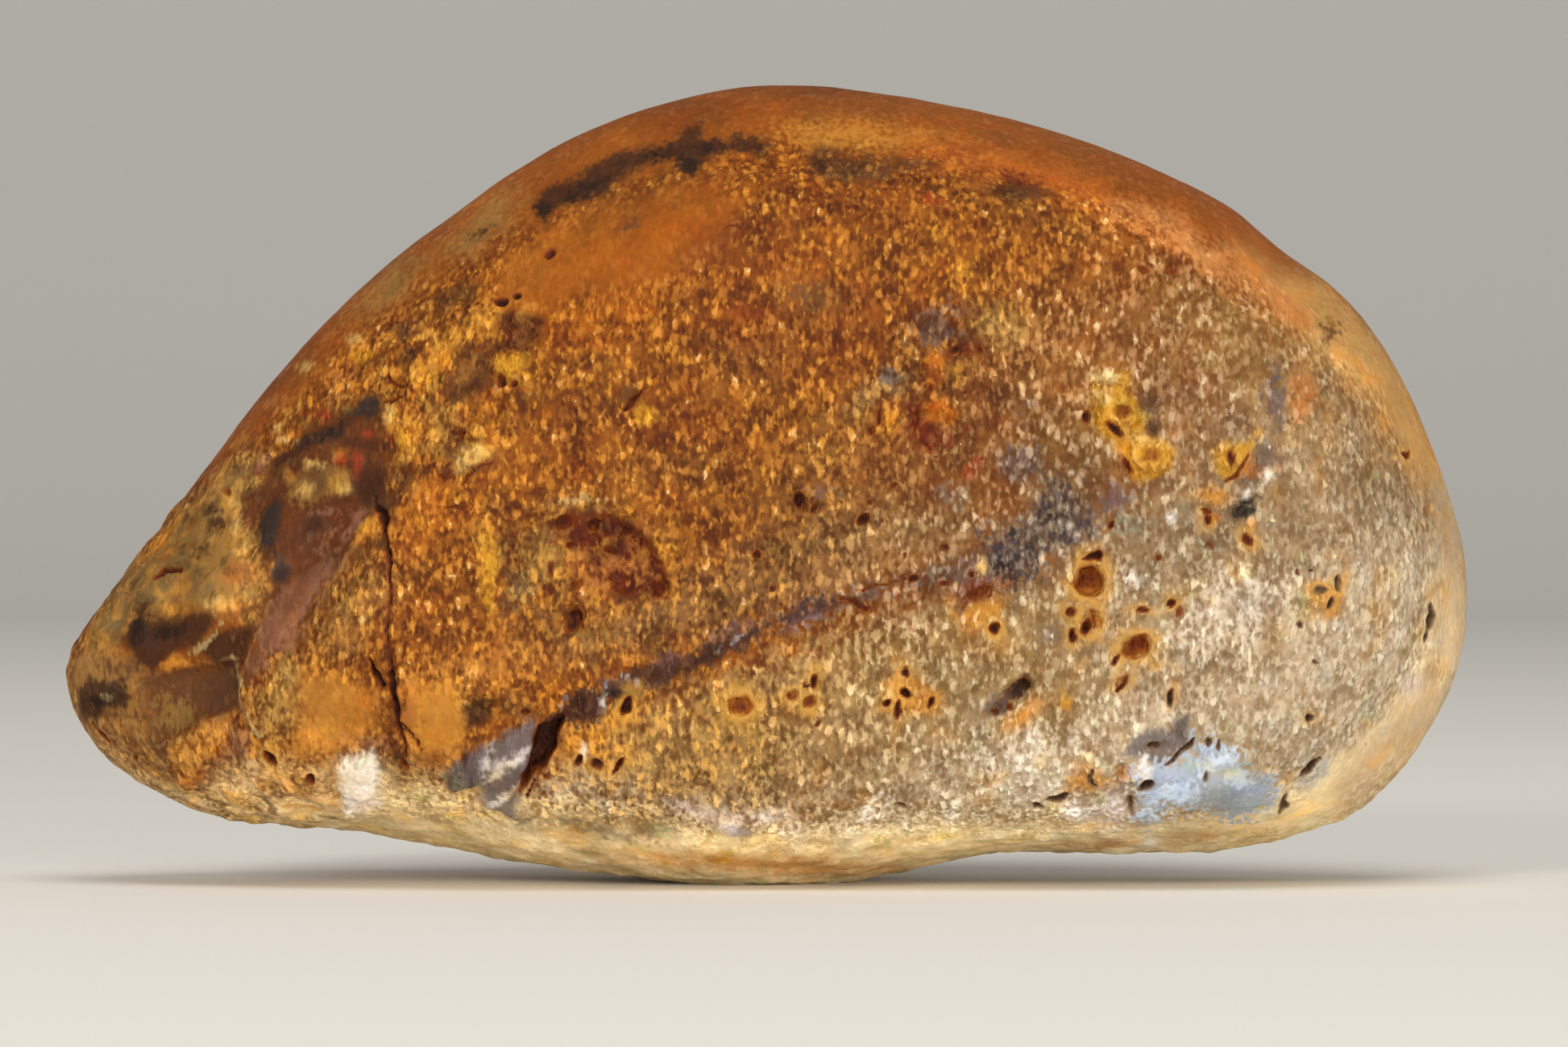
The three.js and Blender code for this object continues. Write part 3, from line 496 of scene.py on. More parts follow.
        [(-15.9, 17.2, 0.1), (-15.6, 15.8, 0.3), (-15.9, 14.6, 0.28), (-15.7, 13.4, 0.1)]], patches=[
        [(14.1, 25), (16, 25.3), (16.1, 24.3), (17, 23.1), (16.7, 22.2), (17.7, 21.9), (18.3, 21.4),
         (18.1, 20.5), (16.5, 19.8), (15.7, 21.1), (15.1, 21.9), (14.3, 22.7)],
        [(20.3, 21.5), (20.6, 21.8), (21.4, 21.9), (21.9, 21.8), (22.3, 22.4), (22.6, 22.3),
         (21.5, 20.2), (20.9, 19.8), (20.2, 20.5)],
        [(-15.5, 26), (-14.5, 26), (-13.9, 26.1), (-13.8, 25.7), (-14.8, 24.9), (-15.5, 25.2)]]),
    "olive": Paint("#957038", 0.8, 0.8, 0.85, 0.8, 0.3, ovals=[
        (-12.8, 16.2, 1.4, 1.5), (-19.8, 5.4, 0.9, 0.8), (23.3, 11.8, 0.26, 0.61),
        (-20.6, 29.6, 1.6, 0.6, 42), (-16.2, 32.5, 1.7, 0.7, 38), (-11.4, 2.8, 0.9, 0.25),
        (-7.9, 2.6, 0.6, 0.25), (9.6, 27.6, 1.2, 0.8)], patches=[
        [(-36, 11.4), (-30.6, 18.4), (-27.8, 21.6), (-26.6, 20.6), (-26.9, 17.6), (-26.6, 14.6),
         (-27.3, 12.8), (-30.6, 13.8), (-33.4, 13.6), (-34.6, 11.6)],
        [(-26.4, 10.7), (-25.7, 11.4), (-25.2, 10.6), (-25.2, 8.7), (-25.4, 7.4), (-26.6, 7.3),
         (-27.3, 8.6), (-27, 9.6)],
        [(-12.7, 18.4), (-12, 19), (-9.6, 18.8), (-9.8, 18.2), (-12.4, 18)],
        [(-18.9, 23.5), (-17.4, 23.5), (-17.3, 21.9), (-17.8, 20.9), (-19.1, 21.7)]]),
    "moss": Paint("#6c5634", 0.4, 0.8, 0.7, 1, 0.3, ovals=[
        (-33.2, 14, 2.4, 1.4, 52), (-31, 16.4, 1.4, 0.6, 55), (-29.6, 14.6, 0.5, 0.25, 20),
        (-14.2, 14.6, 0.6, 0.8), (-29.3, 18.7, 0.8, 0.5, 50), (-30.2, 15.3, 0.4, 0.3),
        (-28.8, 19.5, 0.4, 0.3), (-28.2, 20.4, 0.5, 0.4, 40)]),
    "tip": Paint("#a5783f", 0.7, 0.7, 0.75, 0.6, 0.4, patches=[
        [(-37.4, 9), (-36.8, 11.6), (-34.8, 11.8), (-32.8, 10.6), (-33, 8.6), (-32.2, 6.8), (-31.6, 4.8),
         (-34, 5.6), (-36.4, 7.6)]]),
    "brown": Paint("#54341c", 0.35, 0.6, 0.85, 0.9, 0.75, ovals=[
        (5.2, 35.6, 0.8, 0.3), (10.5, 34.2, 1.2, 0.5), (26.1, 27.4, 0.45, 0.45), (-16.6, 21, 1.15, 0.95),
        (17, 23.8, 0.5, 0.4, 30), (-12.3, 7, 0.25, 0.7, 20), (-14.9, 13.6, 0.25, 0.5),
        (-13.2, 13.4, 0.3, 0.4), (-15, 16.2, 0.14, 0.5), (25.3, 23.7, 0.17, 0.5), (10.2, 13.6, 0.4, 0.3),
        (7.6, 13.6, 0.35, 0.3), (-19.9, 27.4, 0.5, 0.4), (-8.8, 32.6, 0.4, 0.15, 30),
        (-0.2, 29.3, 0.9, 0.3, -10), (0.3, 28.6, 0.5, 0.3, 20), (-20, 20, 0.5, 0.8),
        (-8.8, 24.1, 0.5, 0.35, 40), (-14.6, 8.7, 0.7, 0.35)], patches=[
        [(-18.1, 29), (-17.2, 29.7), (-16.3, 29.6), (-16.7, 29), (-18, 28.5)],
        [(-17.1, 26.6), (-15.5, 26.4), (-15.6, 24.9), (-17.4, 23.7), (-18.2, 24.2), (-17.3, 25.4)],
        [(0, 36), (0.8, 36.3), (3.1, 36), (4.1, 35.6), (4.1, 35), (3.3, 34.6), (0.8, 34.9)],
        [(-33.2, 10.2), (-28.2, 10.9), (-27.9, 9.8), (-28.1, 8.6), (-29.7, 8.1), (-32, 6.5), (-32.6, 7.3)],
        [(-35.2, 10.9), (-33.3, 11.1), (-33.1, 10.2), (-34.6, 10.2)]]),
    "rust": Paint("#641b02", 0.3, 0.9, 0.9, 1, 0.7, ovals=[
        (-12, 17.9, 0.5, 0.4, 10), (-17.9, 20.4, 0.39, 0.5), (-18.8, 20.4, 0.31, 0.27),
        (7.5, 26.4, 0.5, 0.25, 20), (-27.2, 20.4, 0.5, 0.35), (-27.5, 18.2, 0.35, 0.6),
        (10.6, 35.1, 0.5, 0.12), (8.6, 14.6, 1.1, 0.6, 10)], patches=[
        [(-12.6, 18), (-11.2, 18.4), (-9.6, 18.4), (-8.2, 17.5), (-7.2, 16.3), (-6.8, 15), (-6.9, 14),
         (-8.2, 13.9), (-9.6, 14.3), (-10.6, 14.9), (-11.4, 16), (-12.6, 16.9)],
        [(4.9, 23.8), (5.5, 23.6), (6.1, 22.9), (7, 22.5), (8.1, 22.5), (7.7, 21.8), (6.6, 21.2),
         (5.5, 21.6), (5, 22.6)]]),
    "pink tan": Paint("#a0622c", 0.35, 0.5, 0.85, 0.9, ovals=[
        (-11.3, 15.8, 0.8, 0.7), (-9.9, 15.9, 0.45, 0.6), (-10.3, 14.8, 0.6, 0.35),
        (-8.9, 15.7, 0.45, 0.35, -40), (-8.2, 15.1, 0.4, 0.3), (-8.9, 16.7, 0.4, 0.25),
        (-22.9, 25.2, 0.5, 0.5), (-26.4, 23.8, 0.5, 0.29), (-8, 17.8, 0.35, 0.3, -30),
        (-23.4, 24.4, 0.5, 0.7), (-28, 13.5, 0.8, 0.3), (-28.2, 15.3, 0.9, 0.6, 20),
        (24.6, 24.2, 0.8, 1.1), (-19.7, 8.4, 0.35, 0.9), (-18.2, 6.3, 0.9, 0.35)]),
    "maroon": Paint("#4a1606", 0.2, 0.5, 0.9, 0.5, 0.9, ovals=[
        (-11.4, 17.3, 0.5, 0.3, 20), (-10.6, 16.2, 0.2, 0.4), (-9.4, 16.6, 0.4, 0.4),
        (-7.4, 14.6, 0.6, 0.4, 20), (-7.6, 15.9, 0.3, 0.6, 30), (-9.4, 15.2, 0.18, 0.4),
        (10.5, 9.6, 0.7, 0.4, 40), (9.7, 8.8, 0.4, 0.26, 20), (-9.8, 17.6, 0.6, 0.25, -10),
        (-18.9, 20.4, 0.35, 0.3), (-17.9, 20.5, 0.45, 0.35), (-14.2, 27.5, 1, 0.7, -20)], patches=[
        [(-14.8, 27.4), (-14.7, 27.9), (-14.2, 28.2), (-13.1, 28.1), (-13, 27.8), (-13.9, 26.5),
         (-15.1, 26.5)]]),
    "orange glow": Paint("#b06218", 0.3, 0.3, 0.9, 0.3, 0.6, ovals=[
        (-30.5, 5.3, 0.77, 0.5), (15.7, 5.4, 0.4, 0.38), (10, 15.1, 0.6, 0.5), (20.3, 18, 0.3, 0.3),
        (22.1, 20.4, 0.45, 0.5), (14.9, 1.9, 0.9, 0.12, 3), (19.4, 2.3, 0.6, 0.12)], patches=[
        [(5.9, 23.2), (6.3, 24.1), (7.1, 24), (7.5, 23.1), (7.2, 22.7), (6.5, 22.7)],
        [(5.8, 26), (6.5, 26.2), (6.9, 25.8), (6.8, 24.8), (6.3, 24.5), (5.9, 25)]]),
    "lip": Paint("#cc8e40", 0.3, 0.4, 0.85, 0.5, 0.6, patches=[
        [(-31.6, 6.3), (-30.7, 7.2), (-29.4, 8.1), (-28.4, 8.3), (-28.5, 7.7), (-29.4, 6.4),
         (-30.5, 5.4), (-31.4, 5.5)]]),
    "plum": Paint("#54290f", 0.45, 0.8, 0.92, 0.7, 0.6, patches=[
        [(-26.4, 20.9), (-24, 23.4), (-21.6, 24.4), (-20.6, 23.4), (-20.8, 18.4), (-22.4, 16.6),
         (-25.4, 11.7), (-26.4, 10.7), (-27.9, 10.1), (-26.9, 13.3), (-26.4, 15.6), (-27.4, 17.6),
         (-27.2, 19.6)]]),
    "olive on plum": Paint("#8c6a30", 0.4, 0.9, 0.5, 1.4, ovals=[
        (-22.2, 23.9, 0.9, 0.3, 10), (-25.2, 23.2, 0.5, 0.4, 20), (-31.4, 8, 0.8, 1.2, 40)], patches=[
        [(-25.7, 19.9), (-25.1, 20.9), (-23.4, 20.8), (-22.6, 20.2), (-22.6, 19.3), (-24.2, 18.8),
         (-25.5, 18.8)]]),
    "nose band": Paint("#80543a", 0.5, 0.8, 0.8, 0.7, 0.6, patches=[
        [(-28.2, 7.9), (-29.4, 5.6), (-28.7, 5.6), (-27.9, 6.3), (-27.5, 7.2)],
        [(-25.8, 14.6), (-23.6, 16), (-22.8, 15.8), (-24.3, 13.5), (-26.6, 10.6), (-27.6, 10.2),
         (-27.4, 11.2), (-26.7, 13.1)]]),
    "plum shade": Paint("#4c2c1c", 0.45, 1.3, 0.6, 0.8, 0.5, ovals=[
        (-24.4, 17.4, 1.4, 0.5, 50), (-23.2, 16.2, 1.2, 0.25, 60), (-25.3, 14.2, 1.2, 0.35, 60),
        (-26.8, 11.9, 0.9, 0.2, 70), (-21.6, 19.6, 0.9, 1.3, 15), (-25.6, 20.6, 0.7, 0.5, 45),
        (-28.9, 9.6, 0.8, 1.2), (-24.4, 20, 0.3, 0.6, 40)]),
    "plum light": Paint("#8c5f48", 0.25, 0.6, 0.6, 0.6, 0.4, ovals=[
        (-23.4, 18.5, 0.4, 0.14, 10), (-25.6, 12.6, 1.1, 0.12, 55), (-24.3, 14.5, 1, 0.1, 58),
        (-26.5, 11, 0.8, 0.14, 62), (-23.6, 17.2, 0.6, 0.1, 50), (-26.9, 20.9, 0.5, 0.15, 50),
        (-21.6, 6.95, 1.1, 0.45, -5), (-22.2, 18, 0.9, 0.3, 55)]),
    "red": Paint("#a03014", 0.2, 0.25, 0.6, 0.3, 0.5, ovals=[
        (-24, 23.2, 0.33, 0.2), (-24.7, 23.3, 0.36, 0.14), (-23.1, 21, 0.3, 0.3),
        (-22.2, 20.6, 0.22, 0.6), (8.5, 20.9, 0.3, 0.2, 20), (8, 20.4, 0.36, 0.28),
        (-20.7, 21.8, 0.3, 0.3), (6.2, 33.9, 0.5, 0.2, -10), (-21.8, 22.2, 0.2, 0.2)]),
    "dusk": Paint("#5c4a45", 0.35, 0.7, 0.75, 1.5, 0.3, ovals=[
        (10.7, 23.3, 0.46, 0.37), (7.1, 19.1, 0.57, 0.44), (1.1, 19.5, 0.46, 0.26),
        (9.2, 8.8, 0.6, 0.4, 40), (6.8, 28.4, 0.5, 0.3), (12, 12.2, 0.7, 0.5, 50),
        (15.6, 18.9, 0.8, 0.5, 20), (22.1, 19.6, 0.5, 0.4, 40)], bands=[
        [(-2.4, 12.7, 0.3), (0, 13.5, 0.5), (2.4, 14.2, 0.3), (5, 15, 0.3), (7.8, 15.4, 0.5)],
        [(23.3, 25, 0.12), (23.2, 24.2, 0.25), (23.2, 23.4, 0.25), (23.3, 22.6, 0.1)]], patches=[
        [(7.8, 15.8), (9.4, 16.8), (10.6, 18.2), (12, 19), (14.6, 18.2), (13, 16.6), (10, 14.8),
         (8.6, 15)],
        [(9.4, 21.3), (10.4, 21.8), (11.5, 21.6), (11.7, 20.6), (11, 19.8), (9.8, 20.1)],
        [(5.2, 27.5), (5.7, 28), (6.6, 28.1), (7.7, 27.3), (7.2, 26.8), (5.8, 26.9)],
        [(22.4, 21.7), (23.2, 21.8), (23.6, 21.1), (23.6, 20.1), (22.3, 20.6)]]),
    "grey": Paint("#665d5e", 0.25, 0.4, 0.88, 0.4, 0.9, ovals=[
        (14.1, 13.4, 0.3, 0.26), (-32.5, 12, 0.35, 0.5), (-3.3, 2.6, 0.5, 0.2), (4.1, 25, 0.5, 0.4, 20)],
        patches=[
        [(-17.9, 5.1), (-17.6, 5.7), (-16.3, 6.7), (-15.2, 7.1), (-13.8, 8.2), (-13.3, 8.2),
         (-13.7, 6.3), (-14.3, 5), (-14.3, 3.7), (-13.9, 3), (-16, 4), (-15.9, 4.9), (-16.3, 5),
         (-17.6, 4.5)],
        [(15.8, 6.5), (16.3, 7.3), (17.2, 7.7), (17.9, 7.5), (18.5, 8.2), (18.9, 8.2), (19.1, 7.3),
         (19, 6.5), (17.7, 5.6)]]),
    "blue grey": Paint("#86704c", 0.35, 0.6, 0.4, 1.4, ovals=[
        (11.4, 13.6, 1.4, 1.2), (4.9, 26.9, 0.2, 0.4), (0.6, 12.9, 0.5, 0.2, 20),
        (-3.3, 11.9, 0.4, 0.15, 20), (12.2, 17.6, 0.6, 0.4, 30), (24.8, 6.6, 0.3, 0.5, 30)], patches=[
        [(2.2, 24.1), (2.8, 24.8), (3.9, 25.2), (5.1, 25.2), (5.2, 24.2), (3.3, 23.8), (2.6, 23)],
        [(15.6, 18.1), (16.3, 18.3), (17.3, 18.2), (17.3, 17.5), (15.8, 17.5)],
        [(17, 18.4), (19.4, 19), (19, 18.2), (17.2, 17.8)]]),
    "dark": Paint("#3c1e0c", 0.28, 0.4, 0.92, 0.5, 0.85, ovals=[
        (-16, 32.3, 0.55, 0.2, 12), (-22.1, 21.8, 0.7, 0.22), (-21.6, 19.6, 0.7, 1.1, 10),
        (-21.9, 23.5, 0.6, 0.6), (-29.3, 17.8, 0.5, 0.4), (-30, 16.5, 0.5, 0.3, 30),
        (-29.5, 18.5, 0.3, 0.25, 20), (-21.3, 5.8, 0.3, 0.2), (-20.3, 6.3, 0.22, 0.34),
        (-24.4, 17.7, 0.5, 0.35, 20), (-20.8, 21.7, 0.4, 0.32), (-34, 8.3, 0.7, 0.14, -5),
        # The oval at (17.2, 22.5) is a painted shadow beside the yellow lump.
        (17.2, 22.5, 0.3, 0.45), (-32.8, 5.9, 0.2, 0.15)], bands=[
        [(-24.8, 21.8, 0.2), (-25.6, 21.2, 0.25), (-26.4, 20.3, 0.15)],
        [(-24.4, 21.9, 0.2), (-23.4, 22.4, 0.3), (-22.4, 23.1, 0.25)],
        [(-22, 19.2, 0.15), (-23, 18.9, 0.12), (-23.9, 18.8, 0.06)]], patches=[
        [(-13.5, 33.5), (-12.9, 34.6), (-11.3, 35), (-9.6, 36.2), (-7.1, 36.7), (-6.4, 36.9),
         (-6.2, 37.5), (-5.2, 37.7), (-5, 36.9), (-3.7, 36.8), (-3.6, 37.4), (-2.5, 37), (-1.6, 36.5),
         (-2.2, 36), (-4.2, 36.3), (-5, 35.9), (-5.6, 35.1), (-6.5, 35.9), (-7.6, 35.7), (-9.1, 34.9),
         (-10.3, 34), (-12, 33.7), (-13, 32.8)],
        [(-34.1, 12), (-33.4, 13.5), (-32.4, 14), (-31.6, 13.3), (-29.4, 13.3), (-29.2, 12.8),
         (-30.3, 11.8), (-31.5, 11.4), (-32, 10.6), (-32.9, 10.6)],
        [(-30, 11.6), (-29.2, 12.6), (-28.4, 12.7), (-27.4, 12.6), (-27.3, 12), (-27.8, 10.9),
         (-28.7, 10.6), (-29.5, 11)],
        [(-36.4, 9.4), (-35.3, 10.1), (-33.8, 9.9), (-33.3, 9.2), (-33.9, 8.5), (-34.9, 8.6),
         (-35.2, 7.9), (-36, 8.3)],
        [(-26.3, 19), (-25.9, 18.9), (-26, 18), (-26.3, 17.4), (-26.2, 16), (-26.8, 15.6), (-27.2, 16.4),
         (-26.9, 17), (-27, 17.9), (-26.8, 18.4)],
        [(-16.9, 8.6), (-16.4, 9.2), (-15.4, 9), (-15.8, 8), (-16.3, 7.7), (-16.9, 7.6)],
        [(-20.8, 17.5), (-20.8, 16.5), (-21.6, 16.7), (-21.2, 17)]]),
    "green grey": Paint("#7c7a66", 0.3, 0.6, 0.6, 0.8, 0.4, ovals=[
        (-7.7, 2.7, 0.8, 0.3), (-17.3, 5.1, 0.6, 0.4), (-13.8, 3.2, 0.5, 0.3), (16.3, 17.8, 1.2, 0.45)],
        bands=[
        [(-12.6, 3.1, 0.1), (-11, 2.8, 0.15), (-9.4, 2.4, 0.14), (-8.6, 2.3, 0.08)]]),
    "violet": Paint("#5b4752", 0.3, 0.5, 0.6, 0.6, 0.6, ovals=[
        (19.9, 16.8, 0.4, 0.35), (15.1, 19.2, 0.4, 0.6), (23.35, 24, 0.35, 1.2, 3),
        (-3.6, 12.3, 1, 0.55, 25), (0.1, 13.3, 1.3, 0.5, 25), (-6.9, 10.9, 0.7, 0.4, 20),
        (-9.6, 9.6, 0.9, 0.5, 25)]),
    "vein": Paint("#3c211a", 0.2, 0.6, 0.9, 0.9, 0.9, bands=[
        [(-9.4, 9.5, 0.5), (-6.6, 10.5, 0.45), (-5.4, 10.9, 0.32), (-2.6, 12.5, 0.22),
         (-1.2, 13.1, 0.18), (-0.6, 13.4, 0.26), (0.1, 13.6, 0.3), (1.7, 14.1, 0.1)],
        [(-12, 8.4, 0.3), (-12.6, 8.1, 0.3), (-13.3, 8.1, 0.16)]], patches=[
        [(-12.2, 8), (-11.9, 9.2), (-11.1, 9.5), (-10.1, 9.7), (-8.5, 10.8), (-7.7, 10.7), (-6.2, 10.9),
         (-6.4, 10.2), (-9.8, 8.9), (-10.3, 8.2), (-11.4, 7.9)],
        [(-4, 11.8), (-3.5, 12.4), (-2.4, 12.7), (-2.3, 12.2), (-3.1, 11.4), (-3.7, 11.6)]]),
    "blue black": Paint("#2d2523", 0.25, 0.7, 0.85, 0.3, 0.9, ovals=[
        (-21.9, 23.6, 0.75, 0.55, 30), (21.7, 18.6, 0.85, 0.34, 42), (-24, 22.1, 0.8, 0.3, 25),
        (-26.1, 15.5, 0.45, 0.7)], bands=[
        [(-26.2, 18.8, 0.1), (-26.5, 18, 0.3), (-26.8, 17, 0.3), (-27, 16.4, 0.1)],
        [(-16.4, 5.7, 0.05), (-16.6, 5, 0.08)]]),
    "speckled": Paint("#58422f", 0.5, 1, 0.6, 0.8, 0.4, patches=SPECKLED),
    "speckles": Paint("#2b1d26", 0.6, 0.8, 0.85, 2.2, 0.8, limit=0, patches=SPECKLED),
    "pale specks": Paint("#8f8478", 0.5, 0.8, 0.7, -2.4, 0.3, limit=-0.5, patches=SPECKLED),
    "black": Paint("#1e100b", 0.2, 0.4, 0.85, 0.6, 0.85, ovals=[
        (-6, 35.6, 0.5, 0.4), (-4.4, 36.5, 0.9, 0.2, 3), (-10.8, 34.5, 1, 0.26, 25),
        (-7.6, 36.1, 0.9, 0.2, 12), (-13.1, 33.3, 0.3, 0.3), (-2.2, 36.5, 0.3, 0.2),
        (-23.9, 22.2, 0.7, 0.25, 28), (-31.6, 12.4, 0.9, 0.35, 10), (-33.2, 12.4, 0.4, 0.6),
        (21.9, 18.6, 0.5, 0.35, 45), (10.7, 9.7, 0.4, 0.25, 40), (-35.4, 8.9, 0.4, 0.3),
        (10.4, 17.3, 0.4, 0.2, 20), (11.9, 17.9, 0.5, 0.25, 10), (9.8, 15.7, 0.5, 0.2, 10)], bands=[
        [(-10.1, 9.2, 0.14), (-9.8, 9.4, 0.17), (-9.4, 9.4, 0.2), (-8.4, 9.6, 0.08)]]),
    # Painted highlights along the vein's upper edge.
    "vein highlight": Paint("#8f8790", 0.12, 0.4, 0.55, 0.5, 0.6, ovals=[
        (-12, 8.9, 0.25, 0.1, 40), (-3.4, 12.1, 0.4, 0.1, 30)], bands=[
        [(-10.1, 9.7, 0.05), (-9.4, 10.2, 0.08), (-8.8, 10.25, 0.08), (-8.4, 9.9, 0.05)]]),
    # The oval at (14.8, 25) is a painted highlight on the top of the yellow lump; the bands are pale edges.
    "worn edge and highlight": Paint("#b39a68", 0.15, 0.3, 0.7, 0.4, 0.5, ovals=[
        (-34.8, 9.1, 0.18, 0.12), (14.8, 25, 0.8, 0.4)], bands=[
        [(-30.5, 11.3, 0.05), (-29.7, 12, 0.07), (-28.9, 12.8, 0.09), (-29.4, 13.3, 0.06)],
        [(-28.3, 11.2, 0.08), (-28, 10, 0.12), (-27.9, 8.9, 0.12), (-27.1, 7.3, 0.12)],
        [(-12.4, 18.8, 0.08), (-11, 19.1, 0.12), (-9.6, 18.9, 0.08)],
        [(15.2, 11, 0.06), (15.5, 10.4, 0.12), (16.2, 10, 0.08)]]),
    "chalcedony": Paint("#a6b0c0", 0.3, 0.6, 0.95, 1.3, 0.8, patches=[
        [(16.6, 6), (17.7, 5.7), (19, 6.4), (19.2, 7.2), (20.9, 6.8), (21.6, 6.5), (21.9, 5.8),
         (22.5, 5.3), (23.2, 5), (23.1, 4.2), (22.7, 3.6), (21.9, 3.1), (20.9, 3.1), (17.9, 3.7),
         (17.7, 3.1), (16.8, 2.8), (16.3, 3.1), (16.6, 4.2), (16.4, 5.2)]]),
    "blue": Paint("#8f9aaa", 0.35, 0.9, 0.55, 0.6, 0.6, patches=[
        [(20.9, 4.9), (21.7, 4.6), (22.6, 5.2), (23.2, 4.9), (23, 4), (22.1, 3.2), (20.9, 3.2),
         (20.4, 3.6)],
        [(24.3, 4.9), (25.2, 5.8), (25.9, 6.1), (25.8, 5.4), (25, 4.6), (24.5, 4.4)]]),
    "lilac": Paint("#d6c6c0", 0.5, 0.5, 0.65, 0.3, 0.5, ovals=[
        (29.9, 9.9, 0.35, 0.5), (13.3, 3.7, 0.5, 0.4), (-16.3, 4.2, 0.4, 0.25), (-1, 2.8, 0.5, 0.3)],
        patches=[
        [(-7, 4.1), (-4.9, 3.5), (-3.1, 3.5), (-0.2, 3.2), (-1.7, 3), (-4.1, 2.5), (-5.4, 2.9)],
        [(13, 3.1), (13.9, 3.6), (14.9, 4.3), (15.8, 4.6), (15.9, 2.7), (14.5, 2.6)]]),
    "wedge": Paint("#bb7a28", 0.2, 0.3, 0.85, 0.3, 0.4, ovals=[
        (-11.4, 6.9, 0.7, 0.4, 10), (-10.3, 7.2, 0.5, 0.3), (-9.4, 8, 0.4, 0.3),
        (22.1, 17.8, 0.25, 0.25), (-28.3, 13.9, 0.35, 0.25)], bands=[
        [(-21, 23.6, 0.12), (-20.7, 23, 0.2), (-20.3, 22.4, 0.2), (-20.1, 21.9, 0.1)]], patches=[
        [(-21.1, 18.3), (-21, 17.8), (-21.5, 17.1), (-22.4, 16.7), (-22.2, 17.2), (-21.6, 18)],
        [(-32, 10.7), (-31.2, 11.3), (-30.5, 10.9), (-31.7, 10.5)]]),
    # Cream spots, and painted highlights: the first three ovals light the tops of the yellow lumps and the
    # third lump.
    "cream and highlights": Paint("#d6ab63", 0.25, 0.3, 0.8, 0.3, 0.4, ovals=[
        (14.7, 24, 0.45, 0.4), (16.7, 22, 0.5, 0.13, -8), (20.8, 21.6, 0.4, 0.16, 10),
        (-28.9, 13.8, 0.5, 0.25), (-24.2, 20.7, 0.2, 0.15), (-24.7, 20.7, 0.15, 0.15),
        (-24.9, 19.5, 0.3, 0.22, 30), (-23, 19.6, 0.3, 0.25), (-26.2, 22.5, 0.25, 0.2),
        (-25.8, 21.9, 0.22, 0.12), (-29.2, 13.9, 0.5, 0.25), (-20.7, 23.3, 0.25, 0.4),
        (4.1, 9.3, 0.3, 0.2, 50), (-0.2, 9.9, 0.12, 0.28, -30), (9.2, 12.9, 0.14, 0.3),
        (13.9, 16.5, 0.46, 0.2, 20), (8.7, 15.7, 0.13, 0.28), (-9.6, 3.6, 0.2, 0.3),
        (-22.4, 26.9, 0.3, 0.2), (-24.9, 25.6, 0.3, 0.16)], bands=[
        [(-28.7, 19, 0.1), (-28.1, 18.4, 0.12), (-28.4, 17.4, 0.1)],
        [(-27.5, 17, 0.08), (-27.8, 16.5, 0.1), (-28.2, 16.3, 0.06)]], patches=[
        [(-17.3, 21.5), (-16.6, 21.7), (-15.9, 21.7), (-15.8, 21.2), (-16.4, 20.6), (-17.3, 20.4)]]),
    "frost": Paint("#cfdcee", 0.3, 0.9, 0.85, 0.8, 0.85, ovals=[
        (20.6, 6.1, 0.9, 0.35, 20), (18.5, 4.4, 0.7, 0.42, 10), (17.3, 3.3, 0.5, 0.28),
        (21.5, 5, 0.6, 0.5), (19.6, 5.2, 0.3, 0.9, -15)]),
    # White quartz and painted highlights: the patch at the nose and some white spots are quartz, while the
    # thin white streaks on the grey plate and the small white spots at the slot, at pits and on the vein
    # are painted highlights.
    "quartz and highlights": Paint("#fff5e6", 0.3, 0.35, 0.92, 0.25, 0.6, ovals=[
        (22, 19.4, 0.26, 0.14, 35), (23, 20.2, 0.14, 0.2), (16.8, 5.4, 0.2, 0.5),
        (-15, 6, 0.35, 0.13, 30), (-15.8, 5.9, 0.25, 0.07, 80), (-15, 4.5, 0.4, 0.08, 35),
        (-14.5, 6.2, 0.25, 0.06, 35), (-15.4, 5.6, 0.2, 0.05, 40), (14.1, 13.3, 0.12, 0.2),
        (-10.1, 9, 0.07, 0.16), (-11, 6.5, 0.1, 0.2), (-10, 3.6, 0.2, 0.3), (16, 15.1, 0.09, 0.2, -15),
        (16.4, 14.8, 0.09, 0.2, -15), (18.1, 18.1, 0.14, 0.16), (3.1, 3.4, 0.16, 0.35),
        (21.8, 15.2, 0.12, 0.18), (13.2, 3.4, 0.5, 0.2), (17, 1.9, 0.4, 0.3)], bands=[
        [(2.9, 3.1, 0.12), (3.2, 3.9, 0.12), (3.7, 4.4, 0.12), (4.1, 4, 0.12), (3.8, 3.3, 0.12)]],
        patches=[
        [(-23.1, 6.3), (-21.4, 6.5), (-21.1, 3.9), (-22.7, 3.4), (-23.1, 4.9)]]),
}

